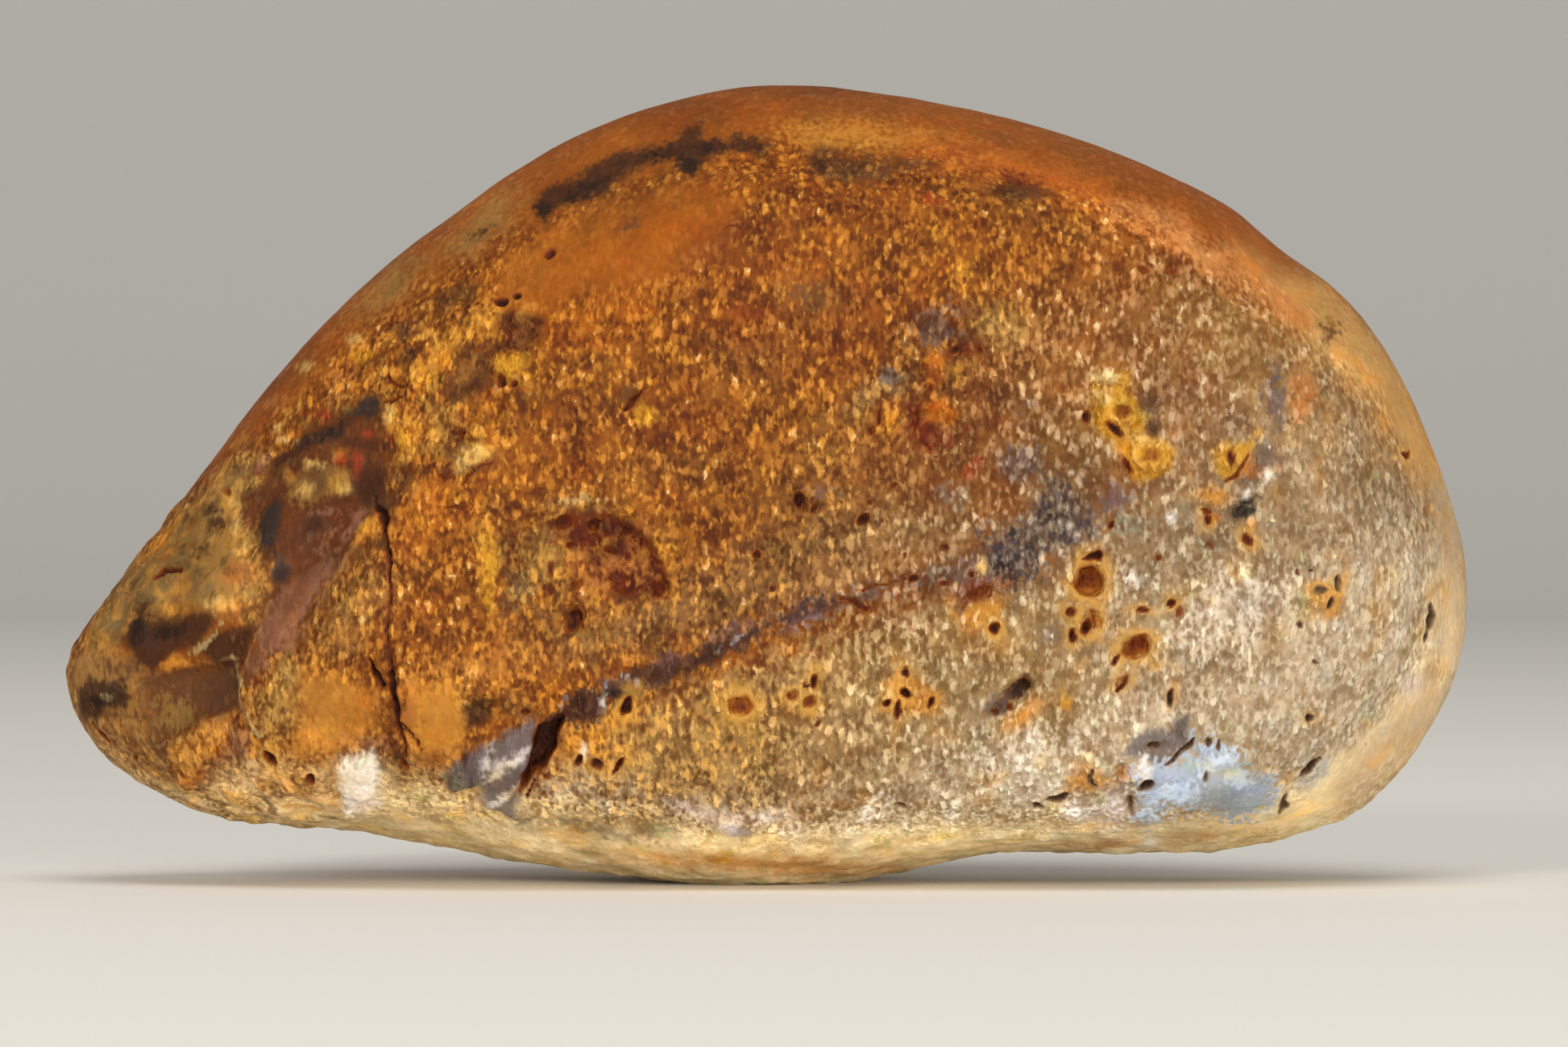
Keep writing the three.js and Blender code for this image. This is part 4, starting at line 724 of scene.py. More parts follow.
# Where the surface is smooth instead of sugary, drawn as a marking is.
SMOOTH = Paint("#ffffff", 0.8, 0.8, 1, patches=[
    [(-27.9, 10.1), (-26.4, 15.6), (-27.2, 19.6), (-24, 23.4), (-21.4, 24.4), (-20.8, 18.4),
     (-24.3, 13.4)],
    [(-36.6, 10), (-34, 14.6), (-28.6, 21), (-27.6, 20.4), (-28.2, 8.7), (-32.1, 6.6)],
    [(-17.9, 5.1), (-15.2, 7.1), (-13.3, 8.2), (-14.3, 3.7), (-16, 4)],
    [(-23.4, 6.3), (-21.4, 6.4), (-21.1, 3.7), (-23.4, 3.6)],
    [(16.8, 3.6), (17.2, 6.6), (21.6, 6.4), (23.2, 4.9), (22.4, 3.4)],
    [(-25.2, 10.4), (-21.6, 9.6), (-20.9, 7.5), (-25.1, 6.6)],
    [(-20.2, 9.6), (-17.6, 10), (-16.6, 7.8), (-19.1, 5.8)]],
    bands=[[(-31, 20.2, 1.4), (-24.4, 27.6, 1.7), (-19, 31.9, 2), (-12, 36.2, 2.4), (-2, 39.2, 2.4),
            (8, 38.2, 2.4), (17, 35.4, 2.2), (24, 30.8, 1.8), (29, 25.6, 1.4), (32.2, 18, 1.1),
            (32.2, 11, 1)],
           [(-14, 30, 1.6), (-9.4, 31.6, 2.4), (-5, 33, 2)],
           [(-26, 3.4, 0.8), (-17, 2, 1.2), (-2, 0.6, 1.5), (16, 1.6, 1.1), (25, 3.4, 1.1), (31, 9, 1.2)]])

# Crumpled ground: the flake scar on the slope of the nose, and the chipped places above the nose and
# round the rusty hollow.
CRUMPLED = Paint("#ffffff", 0.8, 0.4, 1, ovals=[(-24.4, 20.2, 2, 1.2, 20)], patches=[
    [(-22.4, 26.4), (-17.6, 28.8), (-13.6, 28.6), (-13.6, 24.8), (-15.6, 20.2), (-20, 19.6)],
    [(-14.2, 18.6), (-9.2, 18.9), (-6.6, 16.6), (-6.6, 13.6), (-13.4, 13.4)],
    [(-36.6, 10.6), (-33.6, 15.4), (-27.8, 22.4), (-26.8, 20.4), (-27.4, 14.4), (-30.6, 13.6),
     (-34.6, 11.4)],
    [(-31.5, 5.2), (-28.6, 5.4), (-27.4, 6), (-24, 5.2), (-21, 4), (-24, 2.6), (-31, 4)]])

# The ground: two orange-browns in broad clouds, and a darker one in small clouds.
GROUND_DARK = "#743c0a"
GROUND_LIGHT = "#884d0f"
GROUND_CLOUD = "#61320a"
BROAD_SPACING = 7.0
CLOUD_SPACING = 2.4
CLOUD_COVER = 0.7

# Blotches on crumpled ground: where in the noise, its spacing, and [from, to, cover, colour] of each.
BLOTCH_PLACE = (13.0, 2.0, 70.0)
BLOTCH_SPACING = 1.15
BLOTCHES = [(-0.15, -0.7, 0.75, "#42290f"), (0.1, 0.65, 0.7, "#c58b38")]
BLOTCHES_HIDDEN = 0.8
# On the underside they only tint, between these heights: [to, red, green and blue].
UNDERSIDE_FROM = 5.0
UNDERSIDE_TO = 2.0
UNDERSIDE_TINTS = [(0.8, (1.2, 1.25, 1.4)), (-0.8, (0.76, 0.74, 0.62))]

# The hue changes from clump to clump: where in the noise, its spacing and detail, and for each end of
# it from where, to where, and the tint.
HUES = [
    ((31, 7, 3), 1.7, 2, [(0.1, 1, (1.12, 0.95, 0.65)), (-0.1, -1, (0.88, 0.95, 1.08))]),
    ((3, 57, 9), 1.2, 2, [(0.2, 1.1, (0.86, 0.97, 0.80))]),
    ((5, 21, 40), 4.5, 3, [(0, 1, (1.25, 1.28, 1.3)), (0, -1, (0.80, 0.76, 0.66))]),
]

# Grains are taller than they are wide, and deeper: the texture's shares of its height and depth.
GRAIN_UPRIGHT = 0.62
GRAIN_DEEP = 0.65
GRAIN_SPACING = 0.26
BUMP_DEPTH = 0.11

# Two sizes of crystals: [spacing in mm, brightness]. Their places are warped this much, at this spacing,
# fine grain roughens their edges, and they reach from the edge to the middle, in shares of the spacing.
CRYSTALS = [(0.46, 1.0), (0.28, 0.6)]
CRYSTAL_WARP = 0.36
WARP_SPACING = 0.5
CRYSTAL_ROUGHENED = -0.22
CRYSTAL_EDGE = 0.62
CRYSTAL_MIDDLE = 0.2
# A higher power makes bright crystals rarer.
CRYSTAL_RARITY = 1.5

# Brown ground turns to pale ground over this many millimetres outside the tan marking.
PALE_FROM = -12.0

# The gaps between crystals, darker partly by the stone's own grain and partly by painted shade: how much
# fine grain, clumps and crystals count, where they start and are whole, their tint, what is left of them
# on smooth ground, and what pale ground takes off.
GAP_WEIGHTS = (0.7, 0.75, 1.7)
GAP_FROM = 0.8
GAP_WHOLE = -0.95
GAP_TINT = (0.36, 0.24, 0.11)
GAPS_ON_SMOOTH = 0.3
GAPS_OFF_PALE = 0.3

# The crystals' light: from and to where in the clumps, and its shares there, the same two as the gaps
# have, the tints, colours and cover of crystals and glints, and how far apart the clumps are.
LIGHT_CLUMPS = (-0.9, 0.8, 0.45, 1.35)
LIGHT_ON_SMOOTH = 0.15
LIGHT_OFF_PALE = 0.25
BROWN_TINT = (1.8, 1.85, 1.6, 1.0)
PALE_TINT = (1.8, 2.0, 2.2, 1.0)
BROWN_CRYSTAL = "#de9a36"
PALE_CRYSTAL = "#f6e6c6"
CRYSTAL_COVER = 0.5
GLINT_COLOUR = "#f8dfa8"
GLINT_COVER = 0.4
GLINT_WEIGHT = 0.8
GLINT_FROM = 0.95
GLINT_WHOLE = 1.5
CLUMP_SPACING = 1.3

# Crystals are fainter at the right end: from and to this far right, in mm, and down to this share.
CALM_FROM = 12.0
CALM_TO = 24.0
CALM_SHARE = 0.5

# Stains, each [from, to, cover, colour]: the ring and the wall of a pit, and worn crests. The wall's
# orange is partly the stone's colour and partly painted light on the pit's lit side.
PIT_RING = (-0.4, 0.4, 0.65, "#c8943f")
PIT_WALL_COLOUR_AND_LIGHT = (0.35, 0.7, 0.85, "#a8621b")
WORN_CREST = (0.4, 1.0, 0.2, "#b98d55")
# Hollows only darken, with rust-brown stain and painted shade, in brown or on the low pale ground in
# dun, but for their deepest place, which is nearly black painted shade.
HOLLOWS = [(0.05, 0.42, 0.9, "#7c3f0d", "#74573a"), (0.32, 0.64, 0.9, "#5c2206", "#45301e")]
DEEPEST_SHADE = (0.56, 0.95, 0.92, "#240e05")

# The stone's gloss: rough between its crystals and less so on them.
ROUGH_GAPS = 0.75
ROUGH_CRYSTALS = 0.45
STONE_IOR = 1.54
STONE_SPECULAR = 0.15

# The studio, in metres: a pale floor that curves up into a backdrop.
FLOOR_COLOUR = "#ecebe8"
FLOOR_ROUGHNESS = 0.9
FLOOR_WIDTH = 6.0
FLOOR_FRONT = -2.0
SWEEP_START = 1.2
SWEEP_RADIUS = 0.8
BACKDROP_HEIGHT = 3.0
SWEEP_STEPS = 16

# Soft lights, in metres and watts: [name, place, aim, size, power, colour], and the world's own light.
LIGHTS = [
    ("key", (-0.45, -1.05, 0.40), (0, 0, 0.02), 0.30, 4.8, (1.0, 0.97, 0.92)),
    ("fill", (0.30, -0.9, 0.03), (0, 0, 0.01), 0.30, 9.0, (1.0, 0.98, 0.95)),
    ("top", (0.1, -0.5, 1.1), (0, -0.15, 0), 0.8, 6.0, (1.0, 0.95, 0.86)),
]
WORLD_COLOUR = (1.0, 0.97, 0.92, 1.0)
WORLD_STRENGTH = 0.35


def smoothstep(low, high, values):
    share = np.clip((values - low) / (high - low), 0, 1)
    return share * share * (3 - 2 * share)


def relaxed(values, edges, rounds):
    """Values at the vertices, drawn halfway to the mean of their neighbours' in every round."""
    starts = np.concatenate([edges[:, 0], edges[:, 1]])
    ends = np.concatenate([edges[:, 1], edges[:, 0]])
    count = len(values)
    neighbours = np.bincount(starts, minlength=count)[:, None]
    for _ in range(rounds):
        sums = [np.bincount(starts, weights=column[ends], minlength=count) for column in values.T]
        values = (values + np.stack(sums, axis=1) / neighbours) / 2
    return values


def points_of(mesh):
    flat = np.empty(len(mesh.vertices) * 3)
    mesh.vertices.foreach_get("co", flat)
    return flat.reshape(-1, 3) / MM


def set_points(mesh, points):
    mesh.vertices.foreach_set("co", (points * MM).ravel())
    mesh.update()


def normals_of(mesh):
    flat = np.empty(len(mesh.vertices) * 3)
    mesh.vertex_normals.foreach_get("vector", flat)
    return flat.reshape(-1, 3)


def edges_of(mesh):
    flat = np.empty(len(mesh.edges) * 2, dtype=np.int32)
    mesh.edges.foreach_get("vertices", flat)
    return flat.reshape(-1, 2)


def remeshed(node):
    """An even mesh of small squares over a CAD node, as a new object."""
    piece = bpy.data.objects.new("nodule_surface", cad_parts[node].data.copy())
    bpy.context.scene.collection.objects.link(piece)
    remesh = piece.modifiers.new("even squares", "REMESH")
    remesh.mode = "VOXEL"
    remesh.voxel_size = VOXEL * MM
    evaluated = piece.evaluated_get(bpy.context.evaluated_depsgraph_get())
    mesh = bpy.data.meshes.new_from_object(evaluated)
    piece.modifiers.clear()
    piece.data = mesh
    return piece


def without_facets(mesh):
    """Rounds the CAD node's facets off. What that shrinks the stone by is given back, itself smoothed."""
    points = points_of(mesh)
    edges = edges_of(mesh)
    rounded = relaxed(points, edges, FACET_ROUNDS)
    set_points(mesh, rounded)
    normals = normals_of(mesh)
    lost = np.sum((points - rounded) * normals, axis=1, keepdims=True)
    set_points(mesh, rounded + normals * relaxed(lost, edges, GIVE_BACK_ROUNDS))


def finer(mesh, wanted, rounds):
    """Splits the squares whose corners are all wanted in four, and eases the seam."""
    fine = bmesh.new()
    fine.from_mesh(mesh)
    split = [edge for edge in fine.edges if all(wanted[vertex.index] for vertex in edge.verts)]
    bmesh.ops.subdivide_edges(fine, edges=split, cuts=1, use_grid_fill=True)
    bmesh.ops.triangulate(fine, faces=[face for face in fine.faces if len(face.verts) > 4])
    fine.to_mesh(mesh)
    fine.free()
    set_points(mesh, relaxed(points_of(mesh), edges_of(mesh), rounds))


def on_front(mesh):
    """Which vertices the camera sees well, and those of the bottom rim."""
    points = points_of(mesh)
    facing = normals_of(mesh)[:, 1]
    front = (points[:, 1] < FRONT_ENDS_AT) & (facing < FRONT_FACES_BELOW)
    rim = (points[:, 2] < RIM_TOP) & (points[:, 1] < RIM_BACK) & (facing < RIM_FACES_BELOW)
    return front | rim


def at_details(mesh):
    """Which vertices lie at a pit, at the edge of a relief or at a crest."""
    view = front_view(points_of(mesh))
    near = np.zeros(len(view), dtype=bool)
    for pit in PITS:
        gap = np.linalg.norm(view - (pit.right, pit.up), axis=1)
        near |= gap < max(pit.long, pit.wide) + DETAIL_MARGIN
    for relief in RELIEFS:
        inside = shape_inside(view, relief)
        near |= (inside > -DETAIL_MARGIN) & (inside < relief.soft + DETAIL_MARGIN)
    for ridge in RIDGES:
        near |= np.abs(crest_gap(view, ridge.crest)) < DETAIL_MARGIN
    return near & (normals_of(mesh)[:, 1] < FRONT_FACES_BELOW)


def front_view(points):
    """Where the camera sees each point: millimetres right of and up from the origin."""
    share = -EYE[1] / (points[:, 1] - EYE[1])
    return EYE[[0, 2]] + (points[:, [0, 2]] - EYE[[0, 2]]) * share[:, None]


def oval_ratio(view, right, up, long, wide, turn=0):
    """0 at the middle of an oval and 1 on its edge."""
    angle = math.radians(turn)
    offset = view - (right, up)
    along = offset @ (math.cos(angle), math.sin(angle))
    across = offset @ (-math.sin(angle), math.cos(angle))
    return np.hypot(along / long, across / wide)


def line_gap(view, start, end):
    """How far each point is from a line, and how far along the line its nearest place is."""
    run = np.subtract(end, start)
    share = np.clip((view - start) @ run / (run @ run), 0, 1)
    return np.linalg.norm(view - start - share[:, None] * run, axis=1), share


def band_inside(view, stops):
    """How far inside a band each point lies, in millimetres, and negative outside it."""
    inside = np.full(len(view), -np.inf)
    for (*start, start_width), (*end, end_width) in zip(stops, stops[1:]):
        gap, share = line_gap(view, start, end)
        inside = np.maximum(inside, start_width + (end_width - start_width) * share - gap)
    return inside


def patch_inside(view, outline):
    """How far inside a closed outline each point lies, in millimetres, and negative outside it."""
    nearest = np.full(len(view), np.inf)
    within = np.zeros(len(view), dtype=bool)
    for start, end in zip(outline, outline[1:] + outline[:1]):
        nearest = np.minimum(nearest, line_gap(view, start, end)[0])
        crosses = (view[:, 1] < start[1]) != (view[:, 1] < end[1])
        rise = (end[1] - start[1]) or 1
        at = start[0] + (view[:, 1] - start[1]) / rise * (end[0] - start[0])
        within ^= crosses & (view[:, 0] < at)
    return np.where(within, nearest, -nearest)


def shape_inside(view, shape):
    """How far inside any oval, band or patch each point lies, in millimetres, and negative outside."""
    inside = np.full(len(view), -np.inf)
    for oval in shape.ovals:
        inside = np.maximum(inside, (1 - oval_ratio(view, *oval)) * min(oval[2:4]))
    for stops in shape.bands:
        inside = np.maximum(inside, band_inside(view, stops))
    for outline in shape.patches:
        inside = np.maximum(inside, patch_inside(view, outline))
    return inside


def crest_gap(view, crest):
    """How far each point is from a crest, in millimetres: above zero on its left, below on its right."""
    nearest = np.full(len(view), np.inf)
    side = np.ones(len(view))
    for (x, y), (next_x, next_y) in zip(crest, crest[1:]):
        gap, _ = line_gap(view, (x, y), (next_x, next_y))
        left = (next_x - x) * (view[:, 1] - y) > (next_y - y) * (view[:, 0] - x)
        side = np.where(gap < nearest, np.where(left, 1, -1), side)
        nearest = np.minimum(nearest, gap)
    return nearest * side


def bumps(points, spacing, seed=0):
    """Smooth noise from about -1 to 1, with bumps this many millimetres apart."""
    return np.array([noise.noise(Vector(point)) for point in points / spacing + seed])


def uneven(points, view):
    """The view with its places shifted a little, so that drawn shapes get natural edges."""
    shift = [sum(reach * bumps(points, spacing, axis + seed) for reach, spacing, seed in UNEVEN)
             for axis in (20, 40)]
    return view + np.stack(shift, axis=1)


def wandering(points):
    """Shifts [right, up, deeper] for markings, which grow towards the back."""
    share = smoothstep(WANDER_FROM, MARKS_FADE_TO, points[:, 1])
    swings = [bumps(points, WANDER_SPACING, seed) + 0.5 * bumps(points, WANDER_SPACING / 3, seed + 3)
              for seed in (50, 60, 70)]
    return WANDER * share[:, None] * np.stack(swings, axis=1)


def pit_heights(view):
    """The rise of rims and the fall of pits, how dark they are inside, with rust stain and painted shade
    set towards the upper left, and how far inside their stained rings each point lies, in millimetres."""
    height = np.zeros(len(view))
    dark = np.zeros(len(view))
    halo = np.full(len(view), -1.0)
    for pit in PITS:
        size = min(pit.long, pit.wide)
        ratio = oval_ratio(view, pit.right, pit.up, pit.long, pit.wide, pit.turn)
        height -= pit.depth * np.clip(1 - ratio ** BOWL, 0, 1)
        height += pit.rim * np.exp(-((ratio - RIM_AT) / RIM_WIDTH) ** 2)
        if pit.halo:
            halo = np.maximum(halo, (pit.halo - ratio) * size)
        right, up = np.add((pit.right, pit.up), np.multiply(SHADE_AT, size))
        shade = np.maximum(oval_ratio(view, right, up, pit.long, pit.wide, pit.turn), ratio * SHADE_KEPT)
        share = smoothstep(SHADE_ENDS + SHADE_SPILL / size, SHADE_WHOLE * (1 - size), shade)
        dark = np.maximum(dark, pit.dark * share)
    return height, dark, halo


def relief_heights(view):
    """The rise and fall of the drawn reliefs, and how dark their hollows are with painted shade."""
    height = np.zeros(len(view))
    dark = np.zeros(len(view))
    for relief in RELIEFS:
        inside = shape_inside(view, relief) / relief.soft
        height += relief.height * smoothstep(RELIEF_FROM, RELIEF_WHOLE, inside)
        dark = np.maximum(dark, relief.dark * smoothstep(RELIEF_SHADE_FROM, RELIEF_SHADE_WHOLE, inside))
    return height, dark


def ridge_heights(view):
    """How far the flake scars' crests stand up, and how near each point is to one."""
    height = np.zeros(len(view))
    crest = np.zeros(len(view))
    for ridge in RIDGES:
        gap = crest_gap(view, ridge.crest)
        fade = np.where(gap > 0, ridge.left_fade, ridge.right_fade)
        height = np.maximum(height, ridge.rise * np.exp(-np.abs(gap) / fade))
        crest = np.maximum(crest, smoothstep(CREST_WIDTH, CREST_CORE, np.abs(gap)))
    return height, crest


def back_pits(points, normals):
    """The depth of shallow pits at seeded places on the back and the sides."""
    chance = np.random.RandomState(BACK_SEED)
    places = points[np.flatnonzero((normals[:, 1] > BACK_FACES_ABOVE) & (points[:, 2] > BACK_ABOVE))]
    depth = np.zeros(len(points))
    for place in places[chance.randint(len(places), size=BACK_PITS)]:
        radius = chance.uniform(*BACK_RADIUS)
        ratio = np.linalg.norm(points - place, axis=1) / radius
        depth = np.maximum(depth, BACK_DEPTH * radius * np.clip(1 - ratio ** 2, 0, 1))
    return depth


def shape_surface(piece):
    """Carves the detail into the fine mesh, and stores what the material needs on its vertices."""
    mesh = piece.data
    points = points_of(mesh)
    normals = normals_of(mesh)
    carved_view = uneven(points, front_view(points))
    shift = wandering(points)
    view = front_view(points) + shift[:, :2]
    facing = smoothstep(CARVED_FROM, CARVED_WHOLE, -normals[:, 1])
    behind = MARKS_SINK * smoothstep(MARKS_FADE_FROM, MARKS_FADE_TO, points[:, 1] + shift[:, 2])

    smooth = shape_inside(view, SMOOTH) - behind
    crumpled = smoothstep(-GROUND_FADE, GROUND_FADE, shape_inside(view, CRUMPLED) - behind)
    sugary = smoothstep(GROUND_FADE, -GROUND_FADE, smooth)
    low = smoothstep(LOW_FROM, LOW_WHOLE, points[:, 2])
    pit_height, pit_dark, halo = pit_heights(carved_view)
    relief_height, relief_dark = relief_heights(carved_view)
    ridge_height, crest = ridge_heights(carved_view)
    worn = WORN_MEAN + WORN_SWING * bumps(points, WORN_SPACING, seed=31)
    strewn = back_pits(points, normals)
    grounds = np.stack([np.ones(len(points)), sugary, crumpled, low])

    height = facing * (pit_height + relief_height + ridge_height * worn) - strewn
    for spacing, seed, *heights in LUMPS:
        height += np.dot(heights, grounds) * bumps(points, spacing, seed)
    points = points + normals * height[:, None]
    points[:, 2] = np.maximum(points[:, 2], 0)
    set_points(mesh, points)

    # Hollow holds the darkening of pits, sunken reliefs and the back's pits: rust stain and painted shade.
    store(mesh, "hollow", np.maximum(facing * np.maximum(pit_dark, relief_dark), BACK_STAIN_AND_SHADE * strewn))
    store(mesh, "halo", halo - behind)
    store(mesh, "crest", facing * crest * worn)
    store(mesh, "smooth", smooth)
    store(mesh, "crumpled", crumpled)
    for name, paint in PAINTS.items():
        inside = shape_inside(view, paint) - (0 if paint.through else behind)
        store(mesh, name, np.minimum(inside, paint.limit))


def store(mesh, name, values):
    attribute = mesh.attributes.new(name, "FLOAT", "POINT")
    attribute.data.foreach_set("value", np.maximum(values, -20).astype(np.float32))


def linear(colour):
    """A colour such as #c08040 as the linear values that shaders take."""
    shares = [int(colour[i:i + 2], 16) / 255 for i in (1, 3, 5)]
    return [s / 12.92 if s <= 0.04045 else ((s + 0.055) / 1.055) ** 2.4 for s in shares] + [1.0]


class Nodes:
    """Adds shader nodes, and joins or sets their inputs."""

    def __init__(self, material):
        material.use_nodes = True
        self.tree = material.node_tree
        self.tree.nodes.clear()

    def add(self, kind, settings={}, **inputs):
        node = self.tree.nodes.new("ShaderNode" + kind)
        for name, value in settings.items():
            setattr(node, name, value)
        for name, value in inputs.items():
            self.feed(node.inputs[name.replace("_", " ")], value)
        return node

    def feed(self, socket, value):
        if isinstance(value, bpy.types.NodeSocket):
            self.tree.links.new(value, socket)
        else:
            socket.default_value = value

    def math(self, operation, *values):
        node = self.add("Math", {"operation": operation})
        for socket, value in zip(node.inputs, values):
            self.feed(socket, value)
        return node.outputs[0]

    def times(self, *values):
        """The product of two or more values."""
        result = values[0]
        for value in values[1:]:
            result = self.math("MULTIPLY", result, value)
        return result

    def line(self, value, slope, start):
        """The value times a slope, plus a start."""
        return self.math("MULTIPLY_ADD", value, slope, start)

    def rest(self, value, share):
        """From this share where the value is 0 up to 1 where it is 1."""
        return self.line(value, 1 - share, share)

    def total(self, *terms):
        """The sum of some (value, weight) pairs."""
        result = self.times(*terms[0])
        for value, weight in terms[1:]:
            result = self.line(value, weight, result)
        return result

    def vector(self, operation, first, second):
        node = self.add("VectorMath", {"operation": operation})
        self.feed(node.inputs[0], first)
        self.feed(node.inputs[1], second)
        return node.outputs[0]

    def ramp(self, value, low, high, to_low=0.0, to_high=1.0):
        settings = {"interpolation_type": "SMOOTHSTEP"}
        node = self.add("MapRange", settings, Value=value, From_Min=low, From_Max=high)
        self.feed(node.inputs["To Min"], to_low)
        self.feed(node.inputs["To Max"], to_high)
        return node.outputs["Result"]

    def mix(self, factor, first, second, blend="MIX"):
        """Two colours mixed. A colour may be given as #c08040."""
        node = self.add("Mix", {"data_type": "RGBA", "blend_type": blend})
        self.feed(node.inputs[0], factor)
        for socket, colour in ((node.inputs[6], first), (node.inputs[7], second)):
            self.feed(socket, linear(colour) if isinstance(colour, str) else colour)
        return node.outputs[2]

    def tint(self, factor, colour, shares):
        """Multiplies a colour's red, green and blue by these shares."""
        return self.mix(factor, colour, self.vector("MULTIPLY", colour, shares))

    def colour_over(self, colour, value, start, end, cover, other, blend="MIX"):
        """Puts another colour on: none of it at the start value, and its cover at the end value."""
        return self.mix(self.ramp(value, start, end, 0.0, cover), colour, other, blend)

    def noise(self, place, spacing, detail=2.0, at=None):
        """Noise from about -1 to 1, with blobs this many millimetres apart, read at another place."""
        place = self.vector("ADD", place, at) if at else place
        node = self.add("TexNoise", Vector=place, Scale=1 / spacing, Detail=detail, Roughness=0.5)
        return self.line(node.outputs["Fac"], 4.0, -2.0)

    def value(self, name):
        """What the mesh's vertices store under a name."""
        return self.add("Attribute", {"attribute_name": name}).outputs["Fac"]

    def axis(self, place, letter):
        return self.add("SeparateXYZ", Vector=place).outputs[letter]


def jasper():
    """Sugary brown jasper with its markings."""
    material = bpy.data.materials.new("jasper")
    nodes = Nodes(material)
    place = nodes.vector("MULTIPLY", nodes.add("TexCoord").outputs["Object"], (1 / MM, 1 / MM, 1 / MM))
    upright = nodes.vector("MULTIPLY", place, (1.0, GRAIN_DEEP, GRAIN_UPRIGHT))
    fine = nodes.noise(upright, GRAIN_SPACING)
    crystals = crystal_shares(nodes, upright, fine)
    sugary = nodes.math("SUBTRACT", 1.0, smooth_share(nodes, place))
    colour, hidden = painted(nodes, mottled(nodes, place), place, fine)
    colour = rubble(nodes, colour, place, hidden)
    shown = nodes.times(crystals, nodes.math("SUBTRACT", 1.0, hidden))
    colour = grained(nodes, colour, place, fine, shown, sugary)
    colour = stained_and_shaded(nodes, colour, place, fine)

    grain = nodes.total((crystals, 1.2), (fine, 0.3))
    height = nodes.times(grain, nodes.line(sugary, 0.75, 0.25))
    bump = nodes.add("Bump", Height=height, Distance=BUMP_DEPTH * MM, Strength=1.0)
    roughness = nodes.ramp(crystals, 0.0, 0.8, ROUGH_GAPS, ROUGH_CRYSTALS)
    surface = nodes.add("BsdfPrincipled", Base_Color=colour, Roughness=roughness, Normal=bump.outputs[0])
    surface.inputs["IOR"].default_value = STONE_IOR
    surface.inputs["Specular IOR Level"].default_value = STONE_SPECULAR
    nodes.add("OutputMaterial", Surface=surface.outputs[0])
    return material


def crystal_shares(nodes, upright, fine):
    """How bright a crystal each place has: packed rounded crystals of two sizes, brightest at their
    middles, each with a brightness of its own."""
    shift = nodes.add("TexNoise", Vector=upright, Scale=1 / WARP_SPACING, Detail=1.0).outputs["Color"]
    warped = nodes.vector("ADD", upright, nodes.vector("MULTIPLY", shift, (CRYSTAL_WARP,) * 3))
    layers = []
    for spacing, bright in CRYSTALS:
        cell = nodes.add("TexVoronoi", Vector=warped, Scale=1 / spacing)
        chance = nodes.add("SeparateColor", Color=cell.outputs["Color"]).outputs[0]
        tone = nodes.times(nodes.math("POWER", chance, CRYSTAL_RARITY), bright)
        gap = nodes.line(fine, CRYSTAL_ROUGHENED, cell.outputs["Distance"])
        layers.append(nodes.times(nodes.ramp(gap, CRYSTAL_EDGE, CRYSTAL_MIDDLE), tone))
    return nodes.math("MAXIMUM", *layers)


def smooth_share(nodes, place):
    inside = nodes.line(nodes.noise(place, 1.6, 3.0), SMOOTH.ragged / 2, nodes.value("smooth"))
    return nodes.ramp(inside, -SMOOTH.soft, SMOOTH.soft)


def mottled(nodes, place):
    """The ground colour: orange-brown in broad clouds."""
    broad = nodes.ramp(nodes.noise(place, BROAD_SPACING, 3.0), -0.8, 0.8)
    colour = nodes.mix(broad, GROUND_DARK, GROUND_LIGHT)
    cloudy = nodes.ramp(nodes.noise(place, CLOUD_SPACING, 3.0), 0.0, 1.0, 0.0, CLOUD_COVER)
    return nodes.mix(cloudy, colour, GROUND_CLOUD)


def painted(nodes, colour, place, fine):
    """The markings, each over the ones before it, and how much of the crystals they hide."""
    wander = nodes.total((nodes.noise(place, 1.6, 3.0), 0.35), (nodes.noise(place, 0.6), 0.2))
    hidden = 0.0
    for name, paint in PAINTS.items():
        inside = nodes.line(wander, paint.ragged, nodes.value(name))
        inside = nodes.line(fine, paint.grainy / 2, inside)
        share = nodes.ramp(inside, -paint.soft, paint.soft, 0.0, paint.cover)
        colour = nodes.mix(share, colour, paint.colour)
        if paint.hides:
            hidden = nodes.math("MAXIMUM", hidden, nodes.times(share, paint.hides))
    return colour, hidden


def rubble(nodes, colour, place, hidden):
    """Dark and pale blotches on crumpled ground, and on the lumpy underside."""
    blotch = nodes.noise(place, BLOTCH_SPACING, 3.0, at=BLOTCH_PLACE)
    slope = nodes.times(nodes.value("crumpled"), nodes.line(hidden, -BLOTCHES_HIDDEN, 1.0))
    for start, end, cover, blotch_colour in BLOTCHES:
        share = nodes.times(nodes.ramp(blotch, start, end), slope, cover)
        colour = nodes.mix(share, colour, blotch_colour)
    low = nodes.ramp(nodes.axis(place, "Z"), UNDERSIDE_FROM, UNDERSIDE_TO)
    for end, shares in UNDERSIDE_TINTS:
        colour = nodes.tint(nodes.times(low, nodes.ramp(blotch, 0.0, end)), colour, shares)
    return colour


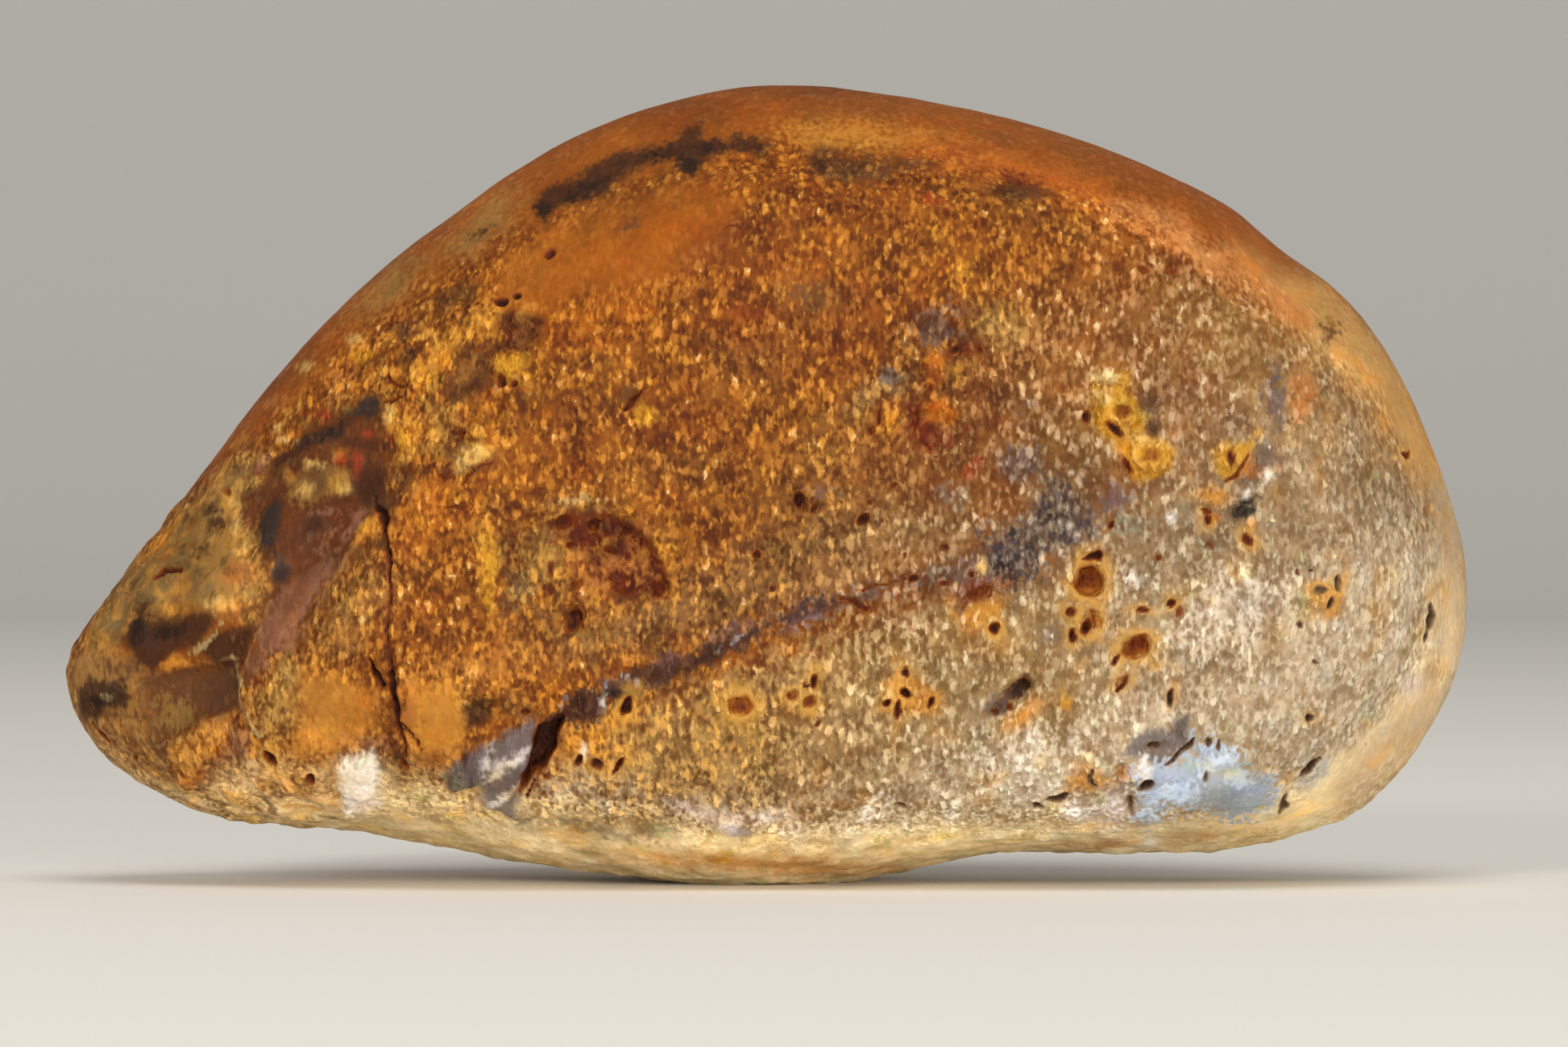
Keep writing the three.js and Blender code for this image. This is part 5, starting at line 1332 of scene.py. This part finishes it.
def grained(nodes, colour, place, fine, crystals, sugary):
    """Varies the hue from clump to clump, darkens the gaps between crystals, partly as painted shade, and
    lightens crystals.
    """
    for at, spacing, detail, tints in HUES:
        clump = nodes.noise(place, spacing, detail, at=at)
        for start, end, shares in tints:
            colour = nodes.tint(nodes.ramp(clump, start, end), colour, shares)

    pale = nodes.ramp(nodes.value("tan"), PALE_FROM, 0.0)
    clumps = nodes.noise(place, CLUMP_SPACING)
    dark = nodes.ramp(nodes.total(*zip((fine, clumps, crystals), GAP_WEIGHTS)), GAP_FROM, GAP_WHOLE)
    dark = nodes.times(dark, nodes.rest(sugary, GAPS_ON_SMOOTH), nodes.line(pale, -GAPS_OFF_PALE, 1.0))
    colour = nodes.tint(dark, colour, GAP_TINT)
    light = nodes.times(crystals, nodes.ramp(clumps, *LIGHT_CLUMPS), nodes.rest(sugary, LIGHT_ON_SMOOTH))
    calm = nodes.ramp(nodes.axis(place, "X"), CALM_FROM, CALM_TO, 1.0, CALM_SHARE)
    light = nodes.times(light, nodes.line(pale, -LIGHT_OFF_PALE, 1.0), calm)
    colour = nodes.tint(light, colour, nodes.mix(pale, BROWN_TINT, PALE_TINT))
    crystal = nodes.mix(pale, BROWN_CRYSTAL, PALE_CRYSTAL)
    colour = nodes.mix(nodes.times(light, CRYSTAL_COVER), colour, crystal)
    glint = nodes.ramp(nodes.line(crystals, GLINT_WEIGHT, fine), GLINT_FROM, GLINT_WHOLE)
    glint = nodes.times(glint, sugary)
    return nodes.mix(nodes.times(glint, GLINT_COVER), colour, GLINT_COLOUR)


def stained_and_shaded(nodes, colour, place, fine):
    """Golden rings round the pits, their orange walls, partly painted light, worn crests, and hollows
    darkened with rust stain and painted shade.
    """
    wander = nodes.total((nodes.noise(place, 0.8), 0.3), (fine, 0.08))
    halo = nodes.math("ADD", wander, nodes.value("halo"))
    crest = nodes.math("ADD", wander, nodes.value("crest"))
    hollow = nodes.total((wander, 0.4), (fine, 0.1), (nodes.value("hollow"), 1.0))
    pale = nodes.ramp(nodes.value("low pale"), -1.0, 1.0)
    for value, colour_over in ((halo, PIT_RING), (halo, PIT_WALL_COLOUR_AND_LIGHT), (crest, WORN_CREST)):
        colour = nodes.colour_over(colour, value, *colour_over)
    for start, end, cover, brown, dun in HOLLOWS:
        colour = nodes.colour_over(colour, hollow, start, end, cover, nodes.mix(pale, brown, dun), "DARKEN")
    return nodes.colour_over(colour, hollow, *DEEPEST_SHADE)


def plain(name, colour, roughness):
    material = bpy.data.materials.new(name)
    material.use_nodes = True
    surface = material.node_tree.nodes["Principled BSDF"]
    surface.inputs["Base Color"].default_value = linear(colour)
    surface.inputs["Roughness"].default_value = roughness
    return material


def studio():
    profile = [(FLOOR_FRONT, 0.0)]
    for step in range(SWEEP_STEPS + 1):
        angle = math.pi / 2 * step / SWEEP_STEPS
        profile.append((SWEEP_START + SWEEP_RADIUS * math.sin(angle), SWEEP_RADIUS * (1 - math.cos(angle))))
    profile.append((SWEEP_START + SWEEP_RADIUS, BACKDROP_HEIGHT))
    vertices = [(side * FLOOR_WIDTH / 2, y, z) for y, z in profile for side in (-1, 1)]
    faces = [(2 * i, 2 * i + 1, 2 * i + 3, 2 * i + 2) for i in range(len(profile) - 1)]
    mesh = bpy.data.meshes.new("floor")
    mesh.from_pydata(vertices, [], faces)
    mesh.shade_smooth()
    mesh.materials.append(plain("pale floor", FLOOR_COLOUR, FLOOR_ROUGHNESS))
    floor = bpy.data.objects.new("floor", mesh)
    bpy.context.scene.collection.objects.link(floor)


def area_light(name, place, aim, size, power, colour):
    data = bpy.data.lights.new(name, "AREA")
    data.shape = "DISK"
    data.size = size
    data.energy = power
    data.color = colour
    light = bpy.data.objects.new(name, data)
    light.location = place
    light.rotation_euler = (Vector(aim) - Vector(place)).to_track_quat("-Z", "Y").to_euler()
    bpy.context.scene.collection.objects.link(light)


def lighting():
    for light in LIGHTS:
        area_light(*light)
    world = bpy.data.worlds.new("studio")
    world.use_nodes = True
    world.node_tree.nodes["Background"].inputs["Color"].default_value = WORLD_COLOUR
    world.node_tree.nodes["Background"].inputs["Strength"].default_value = WORLD_STRENGTH
    bpy.context.scene.world = world
    bpy.context.scene.view_settings.view_transform = "Standard"


def camera():
    data = bpy.data.cameras.new("camera")
    data.sensor_width = SENSOR_WIDTH
    data.lens = SENSOR_WIDTH * -EYE[1] / FRAME_WIDTH
    data.clip_start = 0.01
    viewer = bpy.data.objects.new("camera", data)
    viewer.location = EYE * MM
    viewer.rotation_euler = (math.pi / 2, 0, 0)
    bpy.context.scene.collection.objects.link(viewer)
    bpy.context.scene.camera = viewer


def nodule():
    piece = remeshed("nodule")
    without_facets(piece.data)
    finer(piece.data, on_front(piece.data), SEAM_ROUNDS)
    finer(piece.data, at_details(piece.data), DETAIL_SEAM_ROUNDS)
    shape_surface(piece)
    piece.data.shade_smooth()
    piece.data.materials.clear()
    piece.data.materials.append(jasper())
    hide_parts("nodule")
    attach(piece, "root")


camera()
studio()
lighting()
nodule()
